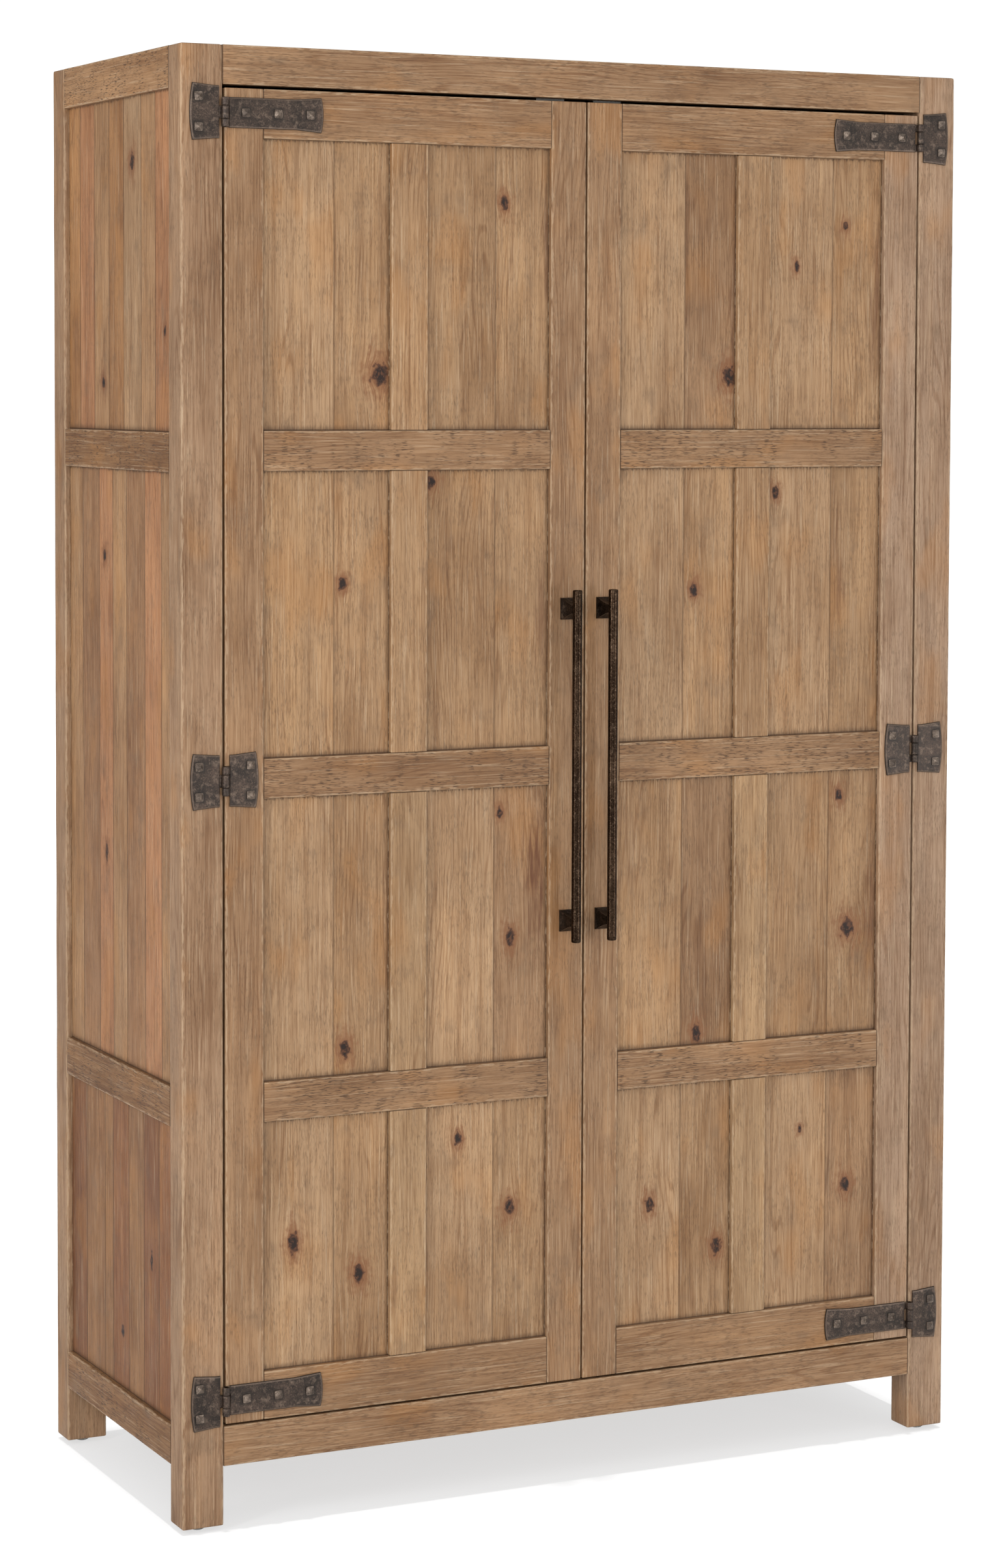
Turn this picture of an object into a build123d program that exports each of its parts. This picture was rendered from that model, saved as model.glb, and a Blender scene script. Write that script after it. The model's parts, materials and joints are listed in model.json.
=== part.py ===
from build123d import *
import os

# Two-door panelled armoire of solid wood with forged iron strap hinges and bar pulls.
# Millimetres. +X is to the right as you face the doors, -Y is the front, +Z is up.
# The origin is on the floor, under the middle of everything, pulls included.

# ---------------------------------------------------------------- driving dimensions
width = 1220.0
depth = 520.0
post_height = 2017.0

post_width = 60.0
post_depth = 47.0
post_top_radius = 6.0

glide_radius = 11.0
glide_height = 7.0
glide_edge = 2.0
glide_nail_radius = 1.5
glide_nail_length = 16.0

# Frame-and-panel stock, the same for the doors, the sides and the back
frame_thickness = 25.0
panel_thickness = 9.0
panel_recess = 7.5
groove_depth = 10.0
panel_play = 2.0
tenon_length = 28.0

# Heights above the foot of the posts
front_top_rail_height = 53.0
front_bottom_rail_foot = 82.0
front_bottom_rail_height = 55.0
side_top_rail_height = 57.0
side_bottom_rail_foot = 80.0
side_bottom_rail_height = 54.4
side_mid_rail_height = 54.2
side_mid_rail_centres = (575.6, 1469.3)
back_stile_width = 70.0

# Doors
door_side_gap = 3.2
door_meeting_gap = 2.8
door_top_gap = 4.6
door_bottom_gap = 3.1
door_hinge_stile_width = 56.0
door_lock_stile_width = 54.0
door_end_rail_height = 66.3
door_mid_rail_height = 54.6
door_mid_rail_centres = (579.9, 1024.9, 1471.4)
door_muntin_width = 55.0
pulled_rail = 1

# Hinges
knuckle_radius = 5.3
knuckle_length = 40.0
middle_knuckle_length = 18.0
knuckle_gap = 0.3
pin_radius = 2.5
pin_clearance = 0.05
axis_out = 6.0
leaf_thickness = 3.0
leaf_setback = 7.5
leaf_width = 38.0
leaf_root_height = 70.5
leaf_end_height = 77.0
leaf_bulge = 4.0
leaf_flare_start = 6.0
leaf_nail_back = 8.0
leaf_nail_spacing = 41.0
strap_length = 134.0
strap_root_height = 41.0
strap_end_height = 47.5
strap_bulge = 3.2
strap_flare_length = 38.0
strap_nails = (23.5, 70.5, 117.5)

nail_head = 12.5
nail_head_edge = 1.0
nail_head_height = 4.5
nail_head_tip = 2.0
nail_radius = 1.6
nail_length = 21.0
nail_clearance = 0.05

# Pulls
pull_bar_radius = 7.0
pull_bar_length = 499.0
pull_axis_out = 32.0
pull_post_spacing = 443.6
pull_base_width = 22.0
pull_base_height = 31.0
pull_base_thickness = 3.0
pull_neck_width = 8.0
pull_neck_height = 10.0
pull_steps = 6
pull_stud_radius = 3.0
pull_stud_length = 17.0
stud_clearance = 0.05

# Top, floor and fittings inside
board_thickness = 16.0
board_tongue = 6.0
board_play = 1.0
top_panel_drop = 4.0
floor_lip = 12.0
shelf_thickness = 18.0
shelf_front_inset = 30.0
shelf_back_inset = 27.0
upper_shelf_drop = 330.0
cleat_thickness = 25.0
cleat_height = 100.0
rod_radius = 12.5
rod_drop = 55.0
socket_wall = 3.0
socket_flange_radius = 29.0
socket_flange_thickness = 3.0
socket_cup_depth = 13.0
shelf_pin_radius = 3.0
shelf_pin_depth = 9.0
shelf_pin_reach = 10.0
shelf_pin_flat = 1.0
shelf_pin_clearance = 0.05
shelf_pin_inset = 38.0
shelf_hole_first = 400.0
shelf_hole_pitch = 50.0
shelf_hole_count = 5
shelf_hole_used = 2

catch_width = 44.0
catch_depth = 14.0
catch_rise = 14.0
catch_fall = 16.0
catch_step = 2.0
catch_offset = 45.0
strike_width = 36.0
strike_thickness = 1.2
strike_top_gap = 2.0
strike_height = 13.0

# ---------------------------------------------------------------- derived places
pull_reach = pull_axis_out + pull_bar_radius
front_y = (pull_reach - depth) / 2
back_y = front_y + depth
foot_z = glide_height
post_inner_x = width / 2 - post_width
post_back_of_front_y = front_y + post_depth
post_front_of_back_y = back_y - post_depth

front_top_rail = (post_height - front_top_rail_height, post_height)
front_bottom_rail = (front_bottom_rail_foot, front_bottom_rail_foot + front_bottom_rail_height)
side_top_rail = (post_height - side_top_rail_height, post_height)
side_bottom_rail = (side_bottom_rail_foot, side_bottom_rail_foot + side_bottom_rail_height)
side_mid_rails = [(c - side_mid_rail_height / 2, c + side_mid_rail_height / 2) for c in side_mid_rail_centres]

door_edge_x = post_inner_x - door_side_gap
door_width = door_edge_x - door_meeting_gap / 2
door_bottom = front_bottom_rail[1] + door_bottom_gap
door_top = front_top_rail[0] - door_top_gap
door_bottom_rail = (door_bottom, door_bottom + door_end_rail_height)
door_top_rail = (door_top - door_end_rail_height, door_top)
door_mid_rails = [(c - door_mid_rail_height / 2, c + door_mid_rail_height / 2) for c in door_mid_rail_centres]
door_rail_span = (door_hinge_stile_width, door_width - door_lock_stile_width)
muntin_centre = sum(door_rail_span) / 2
muntin_span = (muntin_centre - door_muntin_width / 2, muntin_centre + door_muntin_width / 2)

axis_x = post_inner_x - door_side_gap / 2
axis_y = front_y - axis_out
strap_heights = (sum(door_bottom_rail) / 2, sum(door_top_rail) / 2)
middle_hinge_height = door_mid_rail_centres[pulled_rail]
hinge_heights = (strap_heights[0], middle_hinge_height, strap_heights[1])
pull_x = door_meeting_gap / 2 + door_lock_stile_width / 2
pull_height = door_mid_rail_centres[pulled_rail]
pull_post_heights = (pull_height - pull_post_spacing / 2, pull_height + pull_post_spacing / 2)

upper_shelf_bottom = post_height - upper_shelf_drop
shelf_hole_heights = [shelf_hole_first + i * shelf_hole_pitch for i in range(shelf_hole_count)]
cleat_inner_x = width / 2 - frame_thickness - cleat_thickness
rod_height = upper_shelf_bottom - rod_drop
middle_y = (front_y + back_y) / 2

# Layer shared by the panels, their grooves and the tenons, measured in from the outer face
tongue = (panel_recess, panel_recess + panel_thickness)
stock = (0.0, frame_thickness)

hands = ((-1, "left"), (1, "right"))
os.makedirs("parts", exist_ok=True)


# ---------------------------------------------------------------- boards and their joints
def block(x_limits, y_limits, z_limits):
    """Board square to the axes, between the two limits given along each."""
    x0, x1 = sorted(x_limits)
    y0, y1 = sorted(y_limits)
    z0, z1 = sorted(z_limits)
    return Pos((x0 + x1) / 2, (y0 + y1) / 2, (z0 + z1) / 2) * Box(x1 - x0, y1 - y0, z1 - z0)


def rod_between(start, end, radius):
    """Round rod from one point to another."""
    axis = Vector(*end) - Vector(*start)
    return Plane(origin=start, z_dir=axis) * Cylinder(radius, axis.length, align=(Align.CENTER, Align.CENTER, Align.MIN))


def lifted(limits):
    """Heights above the foot of the posts, as heights above the floor."""
    return (foot_z + limits[0], foot_z + limits[1])


def front_wall(across, up, inward):
    """Board in the front: across is x, inward is measured back from the front face."""
    return block(across, (front_y + inward[0], front_y + inward[1]), lifted(up))


def back_wall(across, up, inward):
    """Board in the back: across is x, inward is measured forward from the back face."""
    return block(across, (back_y - inward[0], back_y - inward[1]), lifted(up))


def side_wall(side):
    """Wall function of one side: across is y, inward is measured from its outer face."""
    def wall(across, up, inward):
        return block((side * (width / 2 - inward[0]), side * (width / 2 - inward[1])), across, lifted(up))
    return wall


def door_wall(side):
    """Wall function of one door: across runs from its hinge edge to its meeting edge."""
    def wall(across, up, inward):
        return front_wall((side * (door_edge_x - across[0]), side * (door_edge_x - across[1])), up, inward)
    return wall


def tenons(wall, span, band):
    """The two end tenons of a rail, shouldered by the groove depth above and below."""
    cheek = (band[0] + groove_depth, band[1] - groove_depth)
    return [
        wall((span[0] - tenon_length, span[0]), cheek, tongue),
        wall((span[1], span[1] + tenon_length), cheek, tongue),
    ]


def framed_rail(wall, span, band, below=False, above=False):
    """Rail between two shoulders, with end tenons and a groove on each edge that holds panels."""
    rail = wall(span, band, stock)
    if below:
        rail -= wall(span, (band[0], band[0] + groove_depth), tongue)
    if above:
        rail -= wall(span, (band[1] - groove_depth, band[1]), tongue)
    return rail + tenons(wall, span, band)


def panel(wall, span, band):
    """Panel that stands in the groove below it and has play at its sides and top."""
    hold = groove_depth - panel_play
    return wall((span[0] - hold, span[1] + hold), (band[0] - groove_depth, band[1] + hold), tongue)


def upright_groove(wall, edge, into, band):
    """Groove in an upright for one row of panels; into is +1 or -1, from its edge into the wood."""
    return wall((edge, edge + into * groove_depth), (band[0] - groove_depth, band[1] + groove_depth), tongue)


def muntin(wall, span, band):
    """Short upright between two rails, grooved both sides, with a stub in each rail's groove."""
    upright = wall(span, band, stock)
    stub_span = (span[0] + groove_depth, span[1] - groove_depth)
    upright += wall(stub_span, (band[0] - groove_depth, band[1] + groove_depth), tongue)
    upright -= wall((span[0], stub_span[0]), band, tongue)
    upright -= wall((stub_span[1], span[1]), band, tongue)
    return upright


def rows_between(rails):
    """Open bands between rails that are listed from the lowest to the highest."""
    return [(lower[1], upper[0]) for lower, upper in zip(rails[:-1], rails[1:])]


# ---------------------------------------------------------------- ironwork
def face_plane(x, height, towards):
    """Plane on the front face with its normal forward and its x towards +1 or -1."""
    return Plane(origin=(x, front_y, foot_z + height), x_dir=(towards, 0, 0), z_dir=(0, -1, 0))


def leaf_outline(length, root_height, end_height, flare_start, bulge):
    """Flat leaf outline from its root: straight, then flared, with a bowed end."""
    root = root_height / 2
    end = end_height / 2
    edges = [
        Polyline((length, -end), (flare_start, -root), (0, -root), (0, root), (flare_start, root), (length, end)),
        ThreePointArc((length, end), (length + bulge, 0), (length, -end)),
    ]
    return make_face(edges)


def nail(plane, clearance=0.0):
    """Shank of a clout nail, from the face of its leaf into the wood."""
    return plane * Pos(0, 0, leaf_thickness - nail_length) * Cylinder(
        nail_radius + clearance, nail_length, align=(Align.CENTER, Align.CENTER, Align.MIN))


def nail_with_head(plane):
    """Square nail: a thin-edged pyramid head on a round shank."""
    corner = nail_head / 6
    edge = extrude(RectangleRounded(nail_head, nail_head, corner), nail_head_edge)
    lower = Pos(0, 0, nail_head_edge) * RectangleRounded(nail_head, nail_head, corner)
    upper = Pos(0, 0, nail_head_height) * RectangleRounded(nail_head_tip, nail_head_tip, nail_head_tip / 6)
    head = edge + loft([lower, upper])
    return plane * Pos(0, 0, leaf_thickness) * head + nail(plane)


def leaf_nail_planes(side, towards, height):
    """Where the two nails of a short leaf stand; towards is +1 on the post and -1 on the door."""
    x = side * (axis_x + towards * (leaf_setback + leaf_width - leaf_nail_back))
    return [face_plane(x, height + way * leaf_nail_spacing / 2, 1) for way in (-1, 1)]


def strap_nail_planes(side, height):
    """Where the three nails of a strap stand, along its middle line."""
    return [face_plane(side * (axis_x - leaf_setback - run), height, 1) for run in strap_nails]


def knuckle(side, height, span):
    """One barrel of a hinge, before it is bored; span is measured from the middle of the hinge."""
    low = (side * axis_x, axis_y, foot_z + height + span[0])
    high = (side * axis_x, axis_y, foot_z + height + span[1])
    return rod_between(low, high, knuckle_radius)


def knuckle_tab(side, towards, height, span):
    """Strip that joins a knuckle to its leaf."""
    return block(
        (side * axis_x, side * (axis_x + towards * leaf_setback)),
        (front_y - leaf_thickness, front_y - axis_out + knuckle_radius),
        (foot_z + height + span[0], foot_z + height + span[1]))


def hinge_pin(side, height, clearance=0.0):
    """Pin through the three knuckles of one hinge, or with a clearance the bore that it turns in."""
    x = side * axis_x
    z = foot_z + height
    low = (x, axis_y, z - knuckle_length / 2)
    high = (x, axis_y, z + knuckle_length / 2)
    return rod_between(low, high, pin_radius + clearance)


def hinge_leaf(side, towards, height, outline, spans, nail_planes):
    """A leaf with its knuckles and nail holes; towards is +1 on the post and -1 on the door."""
    plane = face_plane(side * (axis_x + towards * leaf_setback), height, side * towards)
    leaf = extrude(plane * outline, leaf_thickness)
    for span in spans:
        leaf += knuckle_tab(side, towards, height, span)
        leaf += knuckle(side, height, span)
    holes = [nail(place, nail_clearance) for place in nail_planes]
    return leaf - [hinge_pin(side, height, pin_clearance), *holes]


def pull_post(side, height):
    """Post of a pull: plate, hollow-sided pyramid cupped to the bar, and the stud behind it."""
    plane = face_plane(side * pull_x, height, 1)
    plate = extrude(plane * Rectangle(pull_base_width, pull_base_height), pull_base_thickness)
    sections = []
    for step in range(pull_steps + 1):
        rise = step / pull_steps
        narrowing = (1 - rise) ** 2
        section_width = pull_neck_width + (pull_base_width - pull_neck_width) * narrowing
        section_height = pull_neck_height + (pull_base_height - pull_neck_height) * narrowing
        out = pull_base_thickness + (pull_axis_out - pull_base_thickness) * rise
        sections.append(plane * Pos(0, 0, out) * Rectangle(section_width, section_height))
    stud = plane * Pos(0, 0, -pull_stud_length) * Cylinder(
        pull_stud_radius, pull_stud_length, align=(Align.CENTER, Align.CENTER, Align.MIN))
    return plate + loft(sections, ruled=True) + stud - pull_bar(side)


def pull_bar(side):
    """Round bar of a pull."""
    x = side * pull_x
    y = front_y - pull_axis_out
    z = foot_z + pull_height
    return rod_between((x, y, z - pull_bar_length / 2), (x, y, z + pull_bar_length / 2), pull_bar_radius)


# ---------------------------------------------------------------- boards inside
def notched_board(x_limit, y_limits, z_limits):
    """Level board as wide as +-x_limit, cut away round the four posts."""
    board = block((-x_limit, x_limit), y_limits, z_limits)
    notch_x = post_inner_x - board_play
    for side, hand in hands:
        for post_edge, far in (
            (post_back_of_front_y + board_play, y_limits[0]),
            (post_front_of_back_y - board_play, y_limits[1]),
        ):
            board -= block((side * notch_x, side * x_limit), (post_edge, far), z_limits)
    return board


def housed_board(top):
    """Board with its edges let into the four rails round it, its top face at the height given."""
    inset = frame_thickness - board_tongue
    return notched_board(
        width / 2 - inset, (front_y + inset, back_y - inset), lifted((top - board_thickness, top)))


def shelf_board(bottom):
    """Loose-edged shelf between the sides, just behind the doors."""
    return notched_board(
        width / 2 - frame_thickness - board_play,
        (front_y + shelf_front_inset, back_y - shelf_back_inset),
        lifted((bottom, bottom + shelf_thickness)))


def glide_profile():
    """Half section of a domed nail-on glide: radius outward, height up from the floor."""
    shoulder = glide_height - glide_edge
    flat_radius = glide_radius - shoulder
    edges = [
        Polyline(
            (glide_radius, shoulder), (glide_radius, glide_height), (glide_nail_radius, glide_height),
            (glide_nail_radius, glide_height + glide_nail_length), (0, glide_height + glide_nail_length),
            (0, 0), (flat_radius, 0)),
        TangentArc((flat_radius, 0), (glide_radius, shoulder), tangent=(1, 0)),
    ]
    return make_face(edges)


def shelf_pin(side, y, height, clearance=0.0):
    """Round shelf pin let into a post's inner face."""
    z = foot_z + height
    tail = (side * (post_inner_x + shelf_pin_depth), y, z)
    tip = (side * (post_inner_x - shelf_pin_reach), y, z)
    return rod_between(tail, tip, shelf_pin_radius + clearance)


# ---------------------------------------------------------------- the pieces
parts = {}


def add(name, *pieces):
    """Keep a node, as the separate solids of its pieces."""
    parts[name] = [solid for piece in pieces for solid in piece.solids()]


side_rails = [side_bottom_rail, *side_mid_rails, side_top_rail]
side_rows = rows_between(side_rails)
side_span = (post_back_of_front_y, post_front_of_back_y)
front_span = (-post_inner_x, post_inner_x)
back_rows = rows_between([side_bottom_rail, side_top_rail])
back_stile_span = (-back_stile_width / 2, back_stile_width / 2)
shelf_pin_places = (front_y + shelf_pin_inset, back_y - shelf_pin_inset)

floor_board = housed_board(front_bottom_rail[1] - floor_lip)
top_board = housed_board(post_height - top_panel_drop)
housed_boards = [floor_board, top_board]

front_rail_tenons = tenons(front_wall, front_span, front_top_rail) + tenons(front_wall, front_span, front_bottom_rail)
back_rail_tenons = tenons(back_wall, front_span, side_top_rail) + tenons(back_wall, front_span, side_bottom_rail)

add("front_top_rail", framed_rail(front_wall, front_span, front_top_rail) - housed_boards)
add("front_bottom_rail", framed_rail(front_wall, front_span, front_bottom_rail) - housed_boards)
add("back_top_rail", framed_rail(back_wall, front_span, side_top_rail, below=True) - housed_boards)
add("back_bottom_rail", framed_rail(back_wall, front_span, side_bottom_rail, above=True) - housed_boards)
add("back_centre_stile", muntin(back_wall, back_stile_span, back_rows[0]))
add("back_panels",
    panel(back_wall, (-post_inner_x, back_stile_span[0]), back_rows[0]),
    panel(back_wall, (back_stile_span[1], post_inner_x), back_rows[0]))
add("top_panel", top_board)
add("floor_panel", floor_board)

glides = []
catches = []
leaf_face = leaf_outline(leaf_width, leaf_root_height, leaf_end_height, leaf_flare_start, leaf_bulge)
strap_face = leaf_outline(
    strap_length, strap_root_height, strap_end_height, strap_length - strap_flare_length, strap_bulge)
middle_span = (-middle_knuckle_length / 2 + knuckle_gap, middle_knuckle_length / 2 - knuckle_gap)
outer_spans = [
    (-knuckle_length / 2, -middle_knuckle_length / 2),
    (middle_knuckle_length / 2, knuckle_length / 2),
]
post_nail_planes = {
    side: [plane for height in hinge_heights for plane in leaf_nail_planes(side, 1, height)] for side, hand in hands
}

for side, hand in hands:
    wall = side_wall(side)
    outer_x = (side * width / 2, side * post_inner_x)

    # side frame and its panels
    side_tenons = [tenon for band in side_rails for tenon in tenons(wall, side_span, band)]
    add(f"side_top_rail_{hand}", framed_rail(wall, side_span, side_top_rail, below=True) - housed_boards)
    add(f"side_mid_rails_{hand}",
        *[framed_rail(wall, side_span, band, below=True, above=True) for band in side_mid_rails])
    add(f"side_bottom_rail_{hand}", framed_rail(wall, side_span, side_bottom_rail, above=True) - housed_boards)
    add(f"side_panels_{hand}", *[panel(wall, side_span, band) for band in side_rows])

    # posts, each cut for the rails, panels, nails and pins that meet it
    for end, y_limits, front in (
        ("front", (front_y, post_back_of_front_y), True),
        ("back", (post_front_of_back_y, back_y), False),
    ):
        post = block(outer_x, y_limits, lifted((0, post_height)))
        top_outer_edge = post.edges().group_by(Axis.Z)[-1].sort_by(Axis.X)[0 if side < 0 else -1]
        post = fillet(top_outer_edge, post_top_radius)
        inner_edge = y_limits[1] if front else y_limits[0]
        into = -1 if front else 1
        cuts = [upright_groove(wall, inner_edge, into, band) for band in side_rows] + side_tenons
        if front:
            cuts += front_rail_tenons
            cuts += [nail(plane, nail_clearance) for plane in post_nail_planes[side]]
        else:
            cuts += back_rail_tenons
            cuts.append(upright_groove(back_wall, side * post_inner_x, side, back_rows[0]))
        pin_y = shelf_pin_places[0 if front else 1]
        cuts += [shelf_pin(side, pin_y, height, shelf_pin_clearance) for height in shelf_hole_heights]
        glide_place = Pos(sum(outer_x) / 2, sum(y_limits) / 2, 0)
        glide = glide_place * revolve(Plane.XZ * glide_profile(), Axis.Z)
        glides.append(glide)
        add(f"{end}_post_{hand}", post - cuts - glide)

    # hinge leaves on the post, and the pins they hold
    add(f"hinge_post_leaves_{hand}", *[
        hinge_leaf(side, 1, height, leaf_face, [middle_span], leaf_nail_planes(side, 1, height))
        for height in hinge_heights])
    add(f"hinge_pins_{hand}", *[hinge_pin(side, height) for height in hinge_heights])

    # the door
    door = door_wall(side)
    rails = [door_bottom_rail, *door_mid_rails, door_top_rail]
    rows = rows_between(rails)
    rail_tenons = [tenon for band in rails for tenon in tenons(door, door_rail_span, band)]
    hinge_nails = [plane for height in strap_heights for plane in strap_nail_planes(side, height)]
    hinge_nails += leaf_nail_planes(side, -1, middle_hinge_height)
    nail_holes = [nail(plane, nail_clearance) for plane in hinge_nails]
    studs = [
        face_plane(side * pull_x, height, 1) * Pos(0, 0, -pull_stud_length) * Cylinder(
            pull_stud_radius + stud_clearance, pull_stud_length, align=(Align.CENTER, Align.CENTER, Align.MIN))
        for height in pull_post_heights
    ]
    hinge_stile = door((0, door_hinge_stile_width), (door_bottom, door_top), stock) - rail_tenons - nail_holes
    lock_stile = door((door_rail_span[1], door_width), (door_bottom, door_top), stock) - rail_tenons - studs
    for band in rows:
        hinge_stile -= upright_groove(door, door_rail_span[0], -1, band)
        lock_stile -= upright_groove(door, door_rail_span[1], 1, band)
    add(f"{hand}_door_hinge_stile", hinge_stile)
    add(f"{hand}_door_lock_stile", lock_stile)
    add(f"{hand}_door_top_rail", framed_rail(door, door_rail_span, door_top_rail, below=True) - nail_holes)
    add(f"{hand}_door_mid_rails",
        *[framed_rail(door, door_rail_span, band, below=True, above=True) - nail_holes for band in door_mid_rails])
    add(f"{hand}_door_bottom_rail", framed_rail(door, door_rail_span, door_bottom_rail, above=True) - nail_holes)
    add(f"{hand}_door_muntins", *[muntin(door, muntin_span, band) for band in rows])
    panel_spans = ((door_rail_span[0], muntin_span[0]), (muntin_span[1], door_rail_span[1]))
    add(f"{hand}_door_panels", *[panel(door, span, band) for band in rows for span in panel_spans])

    # ironwork that swings with the door
    add(f"{hand}_door_strap_leaves", *[
        hinge_leaf(side, -1, height, strap_face, outer_spans, strap_nail_planes(side, height))
        for height in strap_heights])
    add(f"{hand}_door_middle_leaf", hinge_leaf(
        side, -1, middle_hinge_height, leaf_face, outer_spans, leaf_nail_planes(side, -1, middle_hinge_height)))
    add(f"{hand}_door_nails", *[nail_with_head(plane) for plane in hinge_nails])
    add(f"{hand}_pull_bar", pull_bar(side))
    add(f"{hand}_pull_posts", *[pull_post(side, height) for height in pull_post_heights])

    # magnetic catch behind the top rail, and its strike on the door
    catch_x = (side * (catch_offset - catch_width / 2), side * (catch_offset + catch_width / 2))
    catch_heights = (door_top - catch_fall, front_top_rail[0] + catch_rise)
    catch = front_wall(catch_x, catch_heights, (frame_thickness, frame_thickness + catch_depth))
    catch -= front_wall(catch_x, (catch_heights[0], front_top_rail[0]), (frame_thickness, frame_thickness + catch_step))
    catches.append(catch)
    strike_x = (side * (catch_offset - strike_width / 2), side * (catch_offset + strike_width / 2))
    strike_heights = (door_top - strike_top_gap - strike_height, door_top - strike_top_gap)
    add(f"{hand}_strike_plate", front_wall(
        strike_x, strike_heights, (frame_thickness, frame_thickness + strike_thickness)))

add("glides", *glides)
add("post_nails", *[nail_with_head(plane) for side, hand in hands for plane in post_nail_planes[side]])
add("door_catches", *catches)

# ---------------------------------------------------------------- shelves and rod
add("upper_shelf", shelf_board(upper_shelf_bottom))
cleat_x = (cleat_inner_x, cleat_inner_x + cleat_thickness)
cleat_heights = lifted((upper_shelf_bottom - cleat_height, upper_shelf_bottom))
add("shelf_cleats", *[block((side * cleat_x[0], side * cleat_x[1]), side_span, cleat_heights) for side, hand in hands])

used_hole = shelf_hole_heights[shelf_hole_used]
adjustable_shelf_bottom = used_hole + shelf_pin_radius - shelf_pin_flat
adjustable_shelf = shelf_board(adjustable_shelf_bottom)
add("adjustable_shelf", adjustable_shelf)
add("shelf_pins", *[
    shelf_pin(side, y, used_hole) - adjustable_shelf for side, hand in hands for y in shelf_pin_places])

sockets = []
for side, hand in hands:
    wall_point = (side * cleat_inner_x, middle_y, foot_z + rod_height)
    flange_point = (side * (cleat_inner_x - socket_flange_thickness), middle_y, foot_z + rod_height)
    mouth_point = (side * (cleat_inner_x - socket_flange_thickness - socket_cup_depth), middle_y, foot_z + rod_height)
    flange = rod_between(wall_point, flange_point, socket_flange_radius)
    cup = rod_between(flange_point, mouth_point, rod_radius + socket_wall)
    cup -= rod_between(flange_point, mouth_point, rod_radius)
    sockets.append(flange + cup)
add("rod_sockets", *sockets)
rod_end_x = cleat_inner_x - socket_flange_thickness
add("clothes_rod", rod_between(
    (-rod_end_x, middle_y, foot_z + rod_height), (rod_end_x, middle_y, foot_z + rod_height), rod_radius))

for name, solids in parts.items():
    shape = solids[0] if len(solids) == 1 else Compound(children=solids)
    export_step(shape, f"parts/{name}.step")
print(len(parts), "nodes written")
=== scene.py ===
"""Visual model of a two-door panelled armoire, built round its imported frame.

Metres, +X to the right as you face the doors, -Y the front, +Z up. Boards, nails, pulls and glides take
their places from the boxes of the CAD solids that they stand for. Hinge leaves take their pin and their
height from there, and their outlines from the sizes given here.
"""
import json
import logging
import math
from dataclasses import dataclass, field, replace
from enum import Enum
from typing import Any

import bmesh
import bpy
import numpy as np
from mathutils import Matrix, Vector


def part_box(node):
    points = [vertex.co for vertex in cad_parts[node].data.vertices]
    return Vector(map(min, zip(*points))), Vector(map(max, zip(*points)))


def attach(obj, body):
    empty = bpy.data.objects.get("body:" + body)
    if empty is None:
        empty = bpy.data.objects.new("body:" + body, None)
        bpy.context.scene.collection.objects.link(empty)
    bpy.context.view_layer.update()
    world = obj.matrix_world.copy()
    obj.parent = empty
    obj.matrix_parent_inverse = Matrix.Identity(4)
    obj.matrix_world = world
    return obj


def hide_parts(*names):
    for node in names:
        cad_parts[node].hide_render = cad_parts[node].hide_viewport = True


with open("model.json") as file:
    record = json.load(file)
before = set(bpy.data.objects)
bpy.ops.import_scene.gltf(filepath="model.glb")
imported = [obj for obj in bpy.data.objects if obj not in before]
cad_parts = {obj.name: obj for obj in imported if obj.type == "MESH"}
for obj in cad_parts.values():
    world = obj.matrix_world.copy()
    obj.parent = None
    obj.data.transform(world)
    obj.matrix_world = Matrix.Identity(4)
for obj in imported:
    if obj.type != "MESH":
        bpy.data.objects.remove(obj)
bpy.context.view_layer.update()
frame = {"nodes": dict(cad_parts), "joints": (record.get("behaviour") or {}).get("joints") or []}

LOG = logging.getLogger("armoire")
MM = 0.001
HANDS = ((-1, "left"), (1, "right"))
FAR_OFF = 99.0


# ---------------------------------------------------------------- colours and nodes
class Tone(Enum):
    """Tones that single boards of the waxed, limed wood take, as sRGB hex."""

    HONEY = "#a38260"
    PALE_HONEY = "#a58664"
    LIMED = "#aa8a69"
    WORN_POST = "#9d7e62"
    GREY_POST = "#a3876f"
    TAN = "#997859"
    BROWN_TAN = "#947354"
    RUSSET = "#a3784f"
    SIDE_TAN = "#a5805c"
    SIDE_ROSE = "#ad7d58"
    SIDE_BROWN = "#96704f"
    LOW_TAN = "#926a46"
    LOW_RUSSET = "#8e5f3b"
    LOW_BROWN = "#835737"
    RAIL_BROWN = "#83603f"
    INSIDE = "#a08063"


def linear(colour: str) -> tuple[float, float, float, float]:
    """Turn an sRGB hex colour into linear light.

    Each channel c becomes c / 12.92 when small, else ((c + 0.055) / 1.055) to the power 2.4.

    Args:
        colour: hex such as "#a28265".

    Returns:
        Red, green, blue and an alpha of 1.
    """
    channels = [int(colour[i:i + 2], 16) / 255 for i in (1, 3, 5)]
    lit = [c / 12.92 if c <= 0.04045 else ((c + 0.055) / 1.055) ** 2.4 for c in channels]
    return (lit[0], lit[1], lit[2], 1.0)


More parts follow.
